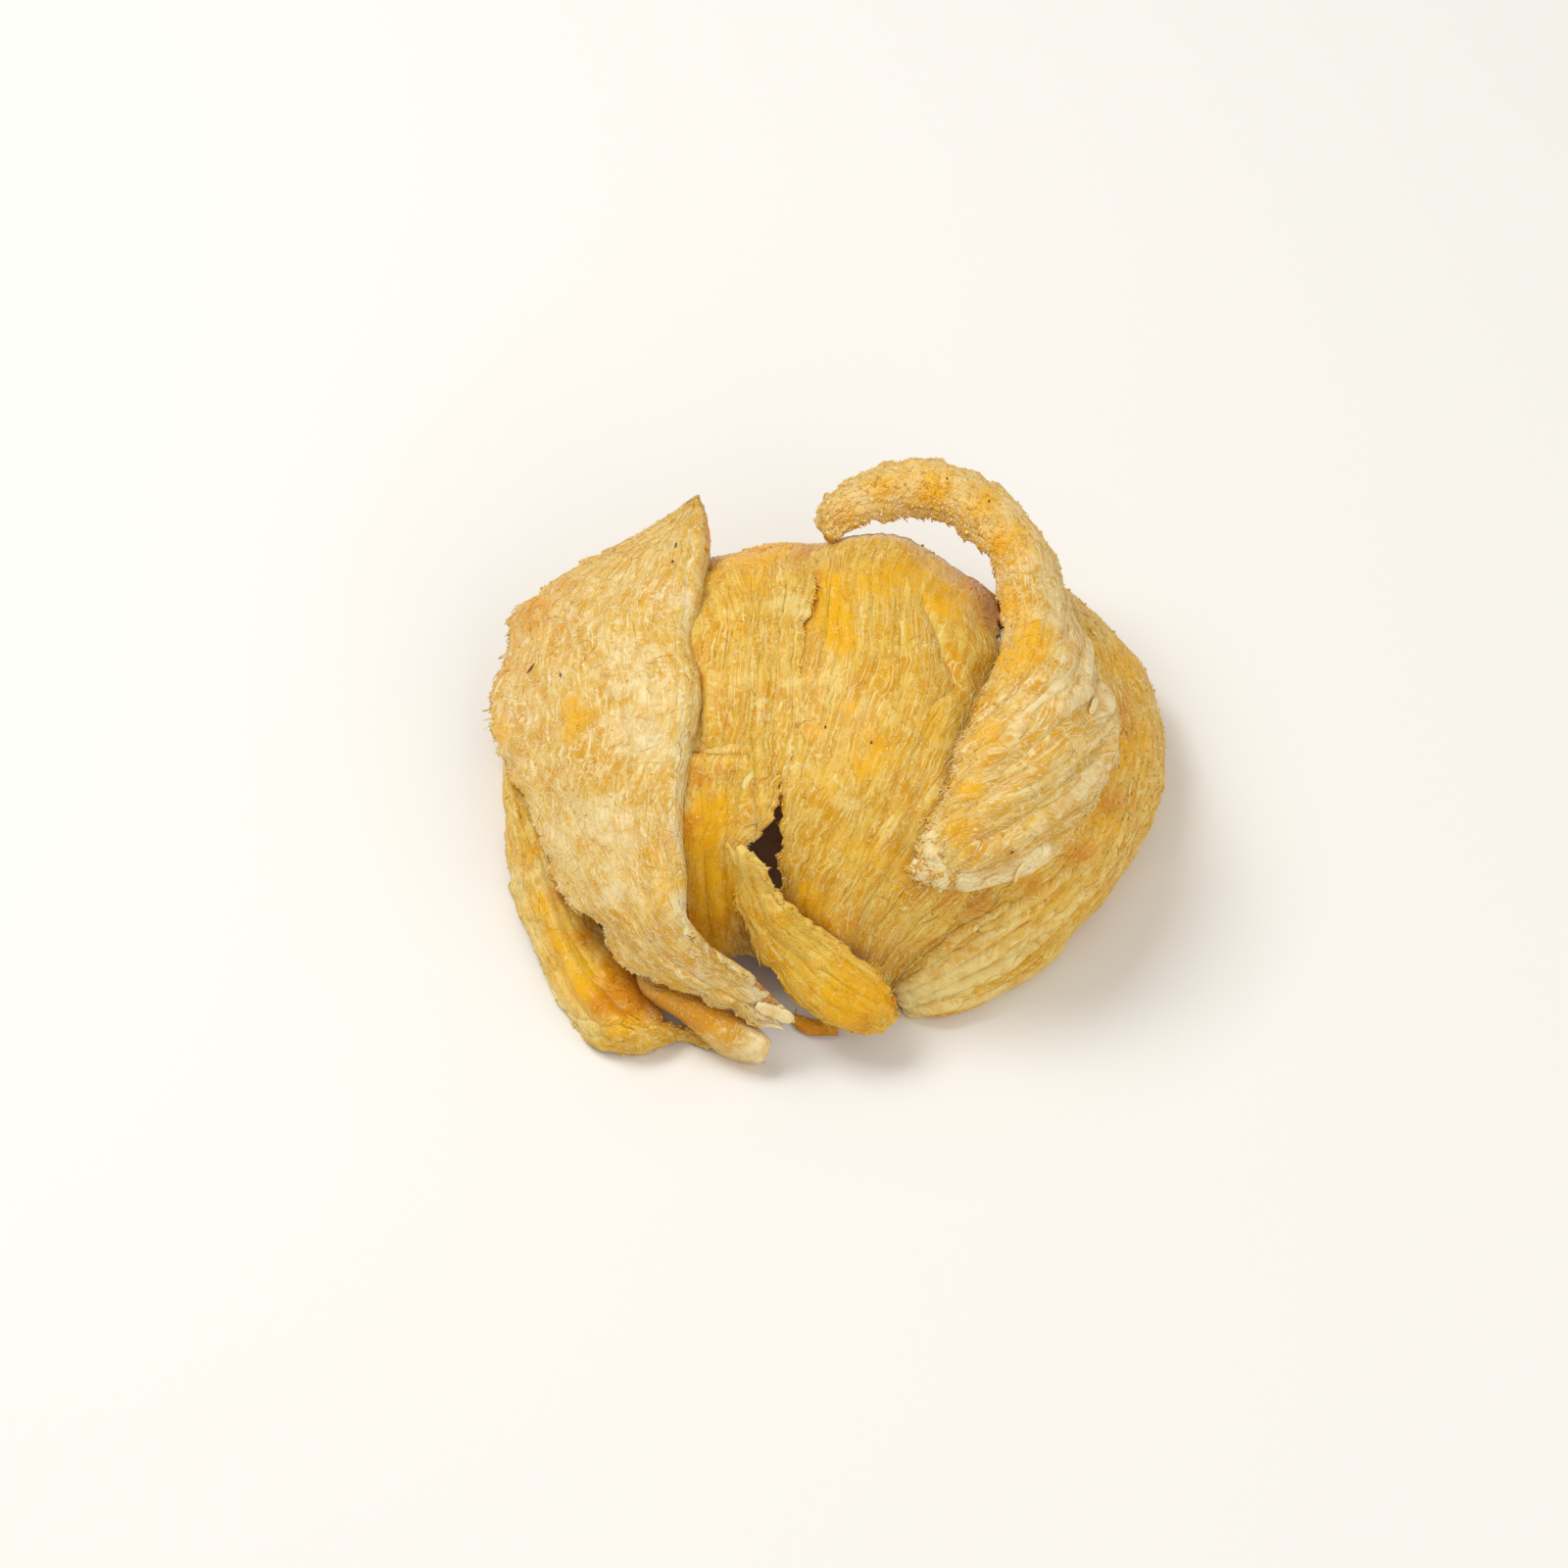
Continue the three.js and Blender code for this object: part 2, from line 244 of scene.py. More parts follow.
def strandRelief(form, s, w, share, grain, co):
    # how far the surface stands out, in mm: bundles, strands, and crumbs where it is granular
    def pattern(label, across=w):
        step, long, wide = strandPatterns[label]
        return noise(form["seed"] + step, s / long, across / wide)

    lane = w - driftOf(form, share) + (1.6 * pattern("sway") + 0.35 * pattern("flutter"))
    broad, fine = pattern("broad", lane), pattern("fine", lane)
    wide, narrow = (1 - 2 * np.abs(pattern(label, lane)) for label in ("wide", "narrow"))
    calm = 0.55 + 0.45 * pattern("calm")
    rope = form["bundle"] * (0.55 * broad + 0.42 * wide + calm * (0.28 * narrow + 0.1 * fine))
    x, y, z = (co[..., k] / mm for k in range(3))
    lump, crumb = (sum(high * noise(form["seed"] + step, x / size, y / size, z / size)
                       for step, size, high in grainPatterns[label]) for label in ("lump", "crumb"))
    relief = (1 - 0.7 * grain) * rope + (0.12 + 0.88 * grain) * form["crumb"] * crumb
    return relief + form["lump"] * lump, lane, 0.3 * broad + 0.6 * wide + 0.5 * narrow


def frayedShares(form, u, v, s, w, widths, longest):
    # the shares along and across once the four edges wander in and out, with a fine fray on top
    edges = []
    for edge, way in ((1, s[:, 0]), (2, s[:, 0]), (3, w[0]), (4, w[0])):
        way = way + 50 * edge
        side = np.full_like(way, edge)
        ragged = sum(high * np.maximum(noise(form["seed"] + step, way / size, side), least)
                     for step, size, high, least in frayPatterns)
        edges.append(form["fray"] * ragged)
    reach = np.maximum(widths, leastReach)[:, None]
    frayedV = v + (1 - v) ** 3 * edges[0][:, None] / reach - v ** 3 * edges[1][:, None] / reach
    return u + ((1 - u) ** 8 * edges[2][None] - u ** 8 * edges[3][None]) / longest, frayedV


def makeSheet(name, form):
    # a grid primitive bent onto the sheet's surface, given its relief, then its thickness
    along, across = form["cells"]
    bpy.ops.object.select_all(action="DESELECT")
    bpy.ops.mesh.primitive_grid_add(x_subdivisions=across, y_subdivisions=along, size=1)
    sheet = bpy.context.object
    sheet.name = name + "_sheet"
    mesh = sheet.data
    v, u = np.meshgrid(np.linspace(0, 1, across + 1), np.linspace(0, 1, along + 1))
    middle = onSheet(form, u, v)
    lengths = np.linalg.norm(np.diff(middle, axis=0), axis=-1).sum(0) / mm
    widths = np.linalg.norm(np.diff(middle, axis=1), axis=-1).sum(1) / mm
    longest, widest = lengths.mean(), widths.mean()
    s, w = u * longest, v * widest
    middle = onSheet(form, *frayedShares(form, u, v, s, w, widths, longest))

    normal = unit(np.cross(np.gradient(middle, axis=1), np.gradient(middle, axis=0)))
    grain = spotMask(middle, form["granular"])
    relief, lane, crest = strandRelief(form, s, w, u, grain, middle)
    fold = foldRelief(middle, [*form["folds"], *(rib[:3] for rib in form["ribs"])])
    ribTint = foldRelief(middle, [(line, wide * 1.1, tint) for line, wide, _, tint in form["ribs"]])
    rim = np.minimum(np.minimum(v, 1 - v) * widths[:, None], np.minimum(u, 1 - u) * longest)
    lift = (relief + fold) * np.clip(rim / rimFade, 0.3, 1) - softBoxes(middle, form["sunk"])
    co = middle + normal * lift[..., None] * mm
    co[..., 2] = np.maximum(co[..., 2], 0.5 * form["thick"] * form["edgeShare"] * mm)
    mesh.vertices.foreach_set("co", co.ravel())

    frill = np.clip(1 - rim / frillWidth, 0, 1) * (0.55 + 0.45 * noise(form["seed"] + 14, s / 2, w / 2))
    values = {label: spotMask(middle, form[label]) for label in ("amber", "yolk", "pale")}
    values["pale"] = np.clip(values["pale"] + form["frill"] * frill + ribTint, 0, 1)
    # crest: how high the strands and folds stand; the material paints shade where this is low
    values["crest"] = np.clip(0.5 + 0.3 * crest + 0.5 * fold, 0, 1)
    setValues(mesh, values)
    strandMap = mesh.uv_layers.new(name="strandMap")  # metres across and along the strands
    corner = np.empty(len(mesh.loops), np.int32)
    mesh.loops.foreach_get("vertex_index", corner)
    flat = np.stack([lane.ravel(), s.ravel()], -1)[corner] * mm
    strandMap.data.foreach_set("uv", flat.astype(np.float32).ravel())

    thicken(sheet, form, rim)

    # the two skins as grids, the one that faces up first, and level where they rest
    skins = np.empty(len(mesh.vertices) * 3, np.float32)
    mesh.vertices.foreach_get("co", skins)
    skins[2::3] = np.maximum(skins[2::3], 0)
    mesh.vertices.foreach_set("co", skins)
    skins = skins.reshape(2, along + 1, across + 1, 3).astype(float)
    first = int(skins[1, ..., 2].mean() > skins[0, ..., 2].mean())
    upper, lower = skins[first], skins[1 - first]
    # painted shade on the lower skin, growing in from the rim
    under = np.zeros((2, (along + 1) * (across + 1)))
    under[1 - first] = form["shaded"] * np.clip(rim / underFade, 0, 1).ravel()
    setValues(mesh, {"under": under})
    return sheet, {"upper": upper, "normal": unit(upper - lower), "longest": float(longest),
                   "width": float(widest)}


def thicken(sheet, form, rim):
    # full thickness in the middle, thin at the rim
    group = sheet.vertex_groups.new(name="thickness")
    body = np.clip(rim / form["taper"], 0, 1) ** 0.6
    for level in range(thickLevels + 1):
        members = np.flatnonzero(np.round(body.ravel() * thickLevels).astype(int) == level)
        if len(members):
            group.add(members.tolist(), level / thickLevels, "REPLACE")
    bpy.ops.object.mode_set(mode="EDIT")
    bpy.ops.mesh.select_all(action="SELECT")
    bpy.ops.mesh.flip_normals()
    bpy.ops.object.mode_set(mode="OBJECT")
    solid = sheet.modifiers.new("thickness", "SOLIDIFY")
    solid.thickness = form["thick"] * mm
    solid.offset = 0
    solid.vertex_group = "thickness"
    solid.thickness_vertex_group = form["edgeShare"]
    bpy.ops.object.modifier_apply(modifier=solid.name)
    bpy.ops.object.shade_smooth()


def setValues(mesh, values):
    # one value per point under each label, for the material
    for label, value in values.items():
        layer = mesh.attributes.new(label, "FLOAT", "POINT")
        layer.data.foreach_set("value", value.astype(np.float32).ravel())


def gridAt(grid, u, v):
    # a grid read between its points, and carried straight on past its edges
    along, across = grid.shape[0] - 1, grid.shape[1] - 1
    a, b = u * along, v * across
    i = np.clip(np.floor(a).astype(int), 0, along - 1)
    j = np.clip(np.floor(b).astype(int), 0, across - 1)
    p, q = (a - i)[..., None], (b - j)[..., None]
    return ((1 - p) * (1 - q) * grid[i, j] + p * (1 - q) * grid[i + 1, j]
            + (1 - p) * q * grid[i, j + 1] + p * q * grid[i + 1, j + 1])


def seenOn(lay, across, up):
    # where a sheet is met at places given as seen: the highest point of it there, and its normal
    near, steep = 0.5, 40  # mm off the place that cost nothing, and the cost in mm of each one more
    x, y = (side.ravel() for side in seenAt(lay["upper"]))
    z = lay["upper"][..., 2].ravel() / mm
    found = [int(np.argmax(z - steep * np.maximum(np.hypot(x - a, y - b) - near, 0)))
             for a, b in zip(across, up)]
    points = lay["upper"].reshape(-1, 3)[found]
    offset = np.stack([across - x[found], up - y[found], np.zeros(len(found))], -1)
    return points + place(offset) - place([0, 0, 0]), lay["normal"].reshape(-1, 3)[found]


def newMesh(name, verts, faces, values):
    # a mesh from points and arrays of faces, with a value per point under each label
    mesh = bpy.data.meshes.new(name)
    mesh.vertices.add(len(verts))
    mesh.vertices.foreach_set("co", np.ascontiguousarray(verts, np.float32).ravel())
    starts = np.cumsum([0] + [len(f) * f.shape[1] for f in faces])
    mesh.loops.add(int(starts[-1]))
    mesh.loops.foreach_set("vertex_index", np.concatenate([f.ravel() for f in faces]).astype(np.int32))
    mesh.polygons.add(sum(len(f) for f in faces))
    first = [start + f.shape[1] * np.arange(len(f)) for start, f in zip(starts, faces)]
    mesh.polygons.foreach_set("loop_start", np.concatenate(first).astype(np.int32))
    mesh.update(calc_edges=True)
    mesh.shade_smooth()
    setValues(mesh, values)
    piece = bpy.data.objects.new(name, mesh)
    bpy.context.collection.objects.link(piece)
    return piece


def rods(path, normal, wide, high, sides):
    # tapering rods along paths: each has a ring of points at every step, and closed ends
    count, steps = path.shape[:2]
    tangent = unit(np.gradient(path, axis=1))
    sideways = unit(np.cross(tangent, normal))
    lift = np.cross(sideways, tangent)
    rings = [path + sideways * wide[..., None] / 2 * math.cos(a) + lift * high[..., None] / 2 * math.sin(a)
             for a in np.arange(sides) * 2 * math.pi / sides + math.pi / 2]
    verts = np.stack(rings, 2).reshape(-1, 3)
    around = np.arange(sides)
    start = np.arange(count)[:, None, None] * steps * sides
    a = start + np.arange(steps - 1)[None, :, None] * sides + around
    b = a - around + (around + 1) % sides
    walls = np.stack([a, a + sides, b + sides, b], -1).reshape(-1, 4)
    first = start[:, 0] + around
    last = start[:, 0] + (steps - 1) * sides + around[::-1]
    return verts, [walls, np.concatenate([first, last])]


strandSteps, strandSides = 7, 3
strandKinds = {  # lengths, widths and arching in mm, lean in radians, mm past the rim, share of pale ones
    "long": ((3, 12), (0.1, 0.28), 0.04, 0.06, 0, 0.6),
    "matted": ((0.8, 3.5), (0.1, 0.25), 0.1, 0.9, 0, 0.6),
    "stub": ((0.8, 2.6), (0.14, 0.42), 0.2, 0, 1.2, 0.7),
}


def makeStrands(name, form, lay):
    # long strands that lie along the sheet, matted short ones, and stubs that stick out at its edges
    upper, width, longest = lay["upper"], lay["width"], lay["longest"]
    chance = np.random.default_rng(form["seed"])
    t = np.linspace(0, 1, strandSteps)[None]
    sets = []
    for kind, (span, thick, arch, lean, past, paleShare) in strandKinds.items():
        n = form[kind]
        u, v = chance.uniform(*form["visible"], n), chance.uniform(0, 1, n)
        length = span[0] + (span[1] - span[0]) * chance.uniform(0, 1, n) ** 1.7
        turn = chance.normal(0, lean, n)
        if kind == "stub":
            far = chance.integers(0, 2, n)
            v = np.where(far, 1 - chance.uniform(0, 0.8, n) / width, chance.uniform(0, 0.8, n) / width)
            turn = np.where(far, 1, -1) * chance.uniform(0, 1.4, n)
        if kind == "long":
            turn = turn + chance.normal(0, 0.55, n) * spotMask(gridAt(upper, u, v), form["matting"])
        wave = chance.uniform(0.05, 0.45, n)[:, None] * np.sin(
            chance.uniform(0, 6.28, n)[:, None] + t * chance.uniform(1.5, 5, n)[:, None])
        pathU = u[:, None] + (length * np.cos(turn))[:, None] * t / longest
        pathV = v[:, None] + ((length * np.sin(turn))[:, None] * t + wave) / width
        if kind == "long":
            pathV = pathV + (driftOf(form, pathU) - driftOf(form, u)[:, None]) / width
        keep = (pathV.min(1) > -past / width) & (pathV.max(1) < 1 + past / width)
        keep &= (pathU.min(1) > 0) & (pathU.max(1) < 1)
        if kind == "long":  # few long ones where the surface is granular
            keep &= chance.uniform(0, 1, n) > 0.75 * spotMask(gridAt(upper, u, v), form["granular"])
        pathU, pathV = pathU[keep], pathV[keep]
        n = len(pathU)
        up = gridAt(lay["normal"], np.clip(pathU, 0, 1), np.clip(pathV, 0, 1))
        rise = chance.uniform(0, arch, n)[:, None] * np.sin(t * math.pi)
        rise = rise + chance.uniform(-0.1, 0.02, n)[:, None]
        points = gridAt(upper, pathU, pathV) + up * rise[..., None] * mm
        if kind == "stub":
            points = points + chance.normal(0, 0.3, (n, 1, 3)) * t[..., None] ** 2 * mm
        taper = np.sin((0.05 + 0.9 * t) * math.pi) ** 0.5
        wide = chance.uniform(*thick, n)[:, None] * taper * mm
        isPale = chance.uniform(0, 1, n) < paleShare
        tone = np.clip(chance.normal(np.where(isPale, 0.85, 0.5), 0.12, n), 0, 1)
        keep = points[..., 2].min(1) > 0.3 * mm
        sets.append((points[keep], up[keep], wide[keep], tone[keep]))
    path, up, wide, tone = (np.concatenate(part) for part in zip(*sets))
    verts, faces = rods(path, up, wide, wide * 0.55, strandSides)
    values = {label: np.repeat(spotMask(path, form[label]), strandSides, 1)
              for label in ("amber", "yolk", "pale")}
    values["tone"] = np.repeat(tone, strandSteps * strandSides)
    return newMesh(name + "_strands", verts, faces, values)


def makeCrumbs(name, form, lay):
    # small eight-sided lumps that roughen the granular faces and the torn edges
    chance = np.random.default_rng(form["seed"] + 1)
    n = form["crumbs"]
    u, v = chance.uniform(*form["visible"], n), chance.uniform(0, 1, n)
    rim = chance.uniform(0, 1, n) < form["rimCrumbs"]
    inset = chance.uniform(-0.25, 0.5, n) / lay["width"]
    v = np.where(rim, np.where(v > 0.5, 1 - inset, inset), v)
    centre = gridAt(lay["upper"], u, v)
    wanted = np.maximum(spotMask(centre, form["granular"]), rim)
    keep = (chance.uniform(0, 1, n) < wanted) & (centre[:, 2] > 0.6 * mm)
    centre, up = centre[keep], gridAt(lay["normal"], u, np.clip(v, 0, 1))[keep]
    n = len(centre)
    size = 0.12 + 0.36 * chance.uniform(0, 1, n) ** 2.2  # mm
    size = size * (1 + 0.7 * spotMask(centre, form["coarse"]))
    centre = centre + up * (chance.uniform(-0.6, 0.25, n) * size)[:, None] * mm
    axes = chance.normal(0, 1, (3, n, 3))
    axes[0] /= np.linalg.norm(axes[0], axis=-1, keepdims=True)
    axes[1] = np.cross(axes[0], axes[1])
    axes[1] /= np.linalg.norm(axes[1], axis=-1, keepdims=True)
    axes[2] = np.cross(axes[0], axes[1])
    axes *= (size * chance.uniform(0.55, 1.25, (3, n)))[..., None] * mm
    verts = np.stack([centre + sign * axes[k] for k in range(3) for sign in (1, -1)], 1).reshape(-1, 3)
    eight = [[0, 2, 4], [2, 1, 4], [1, 3, 4], [3, 0, 4], [2, 0, 5], [1, 2, 5], [3, 1, 5], [0, 3, 5]]
    faces = (np.arange(n)[:, None, None] * 6 + np.array(eight)).reshape(-1, 3)
    values = {label: np.repeat(spotMask(centre, form[label]), 6) for label in ("amber", "yolk", "pale")}
    values["tone"] = np.repeat(np.clip(chance.normal(0.6, 0.3, n), 0, 1), 6)
    return newMesh(name + "_crumbs", verts, [faces], values)


def makeFlakes(name, form, lay):
    # torn flakes and dark specks, both as broad rods laid on the sheet
    steps, sides = 15, 8
    t = np.linspace(0, 1, steps)
    chance = np.random.default_rng(form["seed"] + 2)
    specks = [((x, y, x + math.cos(a) * long, y + math.sin(a) * long), 0.36, 0.3, -0.02, 0, -1)
              for x, y, long, a in form["specks"]]  # a pale of -1 stands for dark
    made = []
    for line, wide, thick, lift, tone, pale in [*form["flakes"], *specks]:
        seen = smoothCurve(np.reshape(line, (-1, 1, 2)).astype(float), t)
        co, up = seenOn(lay, seen[:, 0], seen[:, 1])
        for _ in range(3):  # rides over the small relief instead of following it
            co[1:-1] = (co[:-2] + co[1:-1] * 2 + co[2:]) / 4
        up = up.mean(0)[None].repeat(steps, 0)
        arch = lift * np.sin(math.pi * t) ** 0.5
        ragged = 1 + 0.22 * noise(int(chance.integers(1000)), t * 9, t * 0)
        taper = np.sin((0.07 + 0.86 * t) * math.pi) ** 0.45 * mm
        made.append((co + up * arch[:, None] * mm, up, wide * ragged * taper, thick * taper, tone, pale))
    path, up, wide, high, tone, pale = (np.array(part) for part in zip(*made))
    verts, faces = rods(path, up, wide, high, sides)
    values = {label: np.repeat(spotMask(path, form[label]), sides, 1) for label in ("amber", "yolk")}
    for label, value in (("tone", tone), ("pale", np.maximum(pale, 0)), ("dark", pale < 0)):
        values[label] = np.repeat(value, steps * sides)
    return newMesh(name + "_flakes", verts, faces, values)


# materials
tintNames = ("body", "cream", "golden", "white", "creaseShade", "yolk", "amber")
palettes = {
    "golden": ("#DDA92E", "#E8C45A", "#D59614", "#F5DF98", "#BA7E0A", "#F0B200", "#D6870A"),
    "cream": ("#DFB146", "#EBCB7C", "#D89E26", "#F8E8B8", "#C48E22", "#F0B200", "#D89426"),
    "amber": ("#DDA51A", "#E8BE48", "#DA9606", "#F0D67C", "#C27E02", "#F0B000", "#D68802"),
}
# the first tint is painted shade for the lower skins; the second is the colour of the dark specks
underShadeHex, speckHex = "#C8721C", "#5C3C1A"
patternSizes = {"cloud": 8, "blotch": 3, "fleck": 1.1, "gritAndGlint": 0.5}  # mm
streakWidth, threadWidth, curlWidth = 0.7, 0.3, 1.1  # mm across the strands
streakLengths = {"golden": 14, "cream": 6, "amber": 12}  # mm along the strands
threadBump, curlBump = (0.5, 0.0002), (0.6, 0.0001)  # strength, and height in metres
clearness, clearDepth = 0.2, 0.002  # share of light that enters a sheet, and how far in metres
sheen = 0.18
colourLayers = (  # factor, where it starts and is full, its share, its tint, and what has it
    ("cloud", 0.46, 0.6, 0.95, "golden", "both"),
    ("cloud", 0.45, 0.34, 0.7, "cream", "both"),
    ("blotch", 0.53, 0.62, 0.85, "cream", "both"),
    ("blotch", 0.42, 0.33, 0.6, "golden", "both"),
    ("streak", 0.5, 0.62, 0.8, "cream", "both"),
    ("streak", 0.45, 0.35, 0.8, "golden", "both"),
    ("thread", 0.55, 0.64, 0.7, "white", "both"),
    ("thread", 0.43, 0.36, 0.6, "golden", "both"),
    # painted shade: honey brown in the low places of the relief, where shade falls
    ("crest", 0.35, 0, 0.5, "creaseShade", "sheet"),
    ("fleck", 0.58, 0.66, 0.7, "golden", "both"),
    ("curl", 0.03, 0.008, 0.5, "white", "sheet"),
    ("tone", 0.75, 0.95, 0.6, "white", "strands"),
    ("yolkPatch", 0.15, 0.65, 0.85, "yolk", "both"),
    # amber patches: partly the saliva's deeper colour, partly painted shade under overlapping edges and
    # painted glow at thin edges
    ("amberPatch", 0.2, 0.7, 0.85, "amber", "both"),
    ("curl", 0.02, 0.006, 0.25, "white", "sheet"),
    # painted glints: tiny white specks standing in for the glints off the glossy strands
    ("gritAndGlint", 0.62, 0.68, 0.7, "white", "both"),
    ("palePatch", 0.2, 0.9, 0.7, "white", "both"),
    # painted shade on the lower skin of each sheet
    ("under", 0, 1, 0.8, "underShade", "sheet"),
    ("dark", 0, 1, 0.95, "speck", "strands"),
)


def driedSaliva(coat, kind):
    # swiftlet saliva, air-dried in strands: satin and a little clear, with patches of deeper yellow;
    # the low places of the relief get a painted shade of honey brown, and tiny white specks are painted
    # glints
    material = bpy.data.materials.new(coat + " dried saliva " + kind)
    material.use_nodes = True
    tree = material.node_tree
    shader = tree.nodes["Principled BSDF"]
    spot = addNode(tree, "ShaderNodeTexCoord").outputs["Object"]
    lie = addNode(tree, "ShaderNodeUVMap", uv_map="strandMap").outputs["UV"]

    def pattern(vector, scale, detail=3, roughness=0.6, distortion=0):
        return addNode(tree, "ShaderNodeTexNoise", {
            "Vector": vector, "Scale": scale, "Detail": detail, "Roughness": roughness,
            "Distortion": distortion}).outputs["Fac"]

    def stretched(wide, long):
        size = (1000 / wide, 1000 / long, 1)
        return addNode(tree, "ShaderNodeMapping", {"Vector": lie, "Scale": size}).outputs["Vector"]

    def maths(operation, *values):
        return addNode(tree, "ShaderNodeMath", dict(enumerate(values)), operation=operation).outputs[0]

    def ranged(value, start, full, low, high):
        return addNode(tree, "ShaderNodeMapRange", {
            "Value": value, "From Min": start, "From Max": full, "To Min": low, "To Max": high,
        }).outputs["Result"]

    factors = {label: pattern(spot, 1000 / size) for label, size in patternSizes.items()}
    for label in ("amber", "yolk", "pale") + (("crest", "under") if kind == "sheet" else ("tone", "dark")):
        factors[label] = addNode(tree, "ShaderNodeAttribute", attribute_name=label).outputs["Fac"]
    if kind == "sheet":
        long = streakLengths[coat]
        factors["streak"] = pattern(stretched(streakWidth, long), 1, distortion=0.4)
        factors["thread"] = pattern(stretched(threadWidth, long / 2), 1, distortion=0.4)
        # thin curled fibres, where a stretched pattern passes through its middle value
        curls = pattern(stretched(curlWidth, long / 4), 1, detail=1, roughness=0.5, distortion=1)
        factors["curl"] = maths("ABSOLUTE", maths("SUBTRACT", curls, 0.5))
    else:
        factors["streak"], factors["thread"] = factors["tone"], factors["gritAndGlint"]
    ragged = maths("MULTIPLY_ADD", factors["blotch"], 1.5, -0.75)
    for label in ("amber", "yolk", "pale"):  # patches break up into flecks at their edges
        factors[label + "Patch"] = maths("ADD", factors[label], ragged)

    tints = dict(zip(tintNames, palettes[coat]), underShade=underShadeHex, speck=speckHex)
    colour = linear(tints["body"])
    for label, start, full, share, tint, bearer in colourLayers:
        if bearer in ("both", kind):
            amount = ranged(factors[label], start, full, 0, share)
            colour = addNode(tree, "ShaderNodeMix", {0: amount, 6: colour, 7: linear(tints[tint])},
                             data_type="RGBA").outputs[2]
    tree.links.new(colour, shader.inputs["Base Color"])
    tree.links.new(ranged(factors["gritAndGlint"], 0.35, 0.65, 0.18, 0.5), shader.inputs["Roughness"])
    shader.inputs["Specular IOR Level"].default_value = sheen
    if kind == "sheet":
        bump = {}
        ridge = ranged(factors["curl"], 0.03, 0, 0, 1)
        for height, (strength, distance) in ((factors["thread"], threadBump), (ridge, curlBump)):
            node = addNode(tree, "ShaderNodeBump", {"Height": height, "Strength": strength,
                                                    "Distance": distance, **bump})
            bump = {"Normal": node.outputs["Normal"]}
        tree.links.new(bump["Normal"], shader.inputs["Normal"])
        shader.inputs["Subsurface Weight"].default_value = clearness
        shader.inputs["Subsurface Radius"].default_value = (1, 0.55, 0.15)
        shader.inputs["Subsurface Scale"].default_value = clearDepth
    return material


coats = {(coat, kind): driedSaliva(coat, kind) for coat in palettes for kind in ("sheet", "strands")}
print("materials ready")


# What each sheet is, in mm and as the camera sees it, unless it says otherwise:
# thick: thickness; edgeShare: the rim's share of it; taper: how far in from the rim it grows
# bundle, crumb, lump: how high strands, grains and lumps stand; fray, frill: how ragged and pale rims are
# cells: mesh cells along and across; long, matted, stub, crumbs: how many of each are tried, in the
# visible part of the length; rimCrumbs: the share of crumbs at rims; shaded: how strong the painted shade on
# the lower skin is
# drift: shares of the length, and how far strands have moved across by then
# folds: (line, width, height); ribs: (line, width, height, paleness); a line is x,y, x,y and so on
# sunk: (left, right, low, high, depth)
# yolk, amber, pale: (x,y, radius, strength) of tinted patches; amber is partly the deeper colour of the
# saliva, partly painted shade under overlapping edges and in gaps, and partly painted glow where light
# shines through thin edges
# granular, coarse, matting: the same for grainy places, larger crumbs and strands that lie askew
# flakes: (line, width, thickness, lift, tone, paleness); specks: (x,y, length, angle in radians)
# rows: one after the other along the strands, each of points across,up,height from edge to edge
plain = dict(taper=4, rimCrumbs=0.15, frill=0.75, shaded=1, drift=((0, 1), (0, 0)), folds=[], ribs=[],
             sunk=[], amber=[], yolk=[], pale=[], granular=[], coarse=[], matting=[], flakes=[], specks=[])
sheets = {}
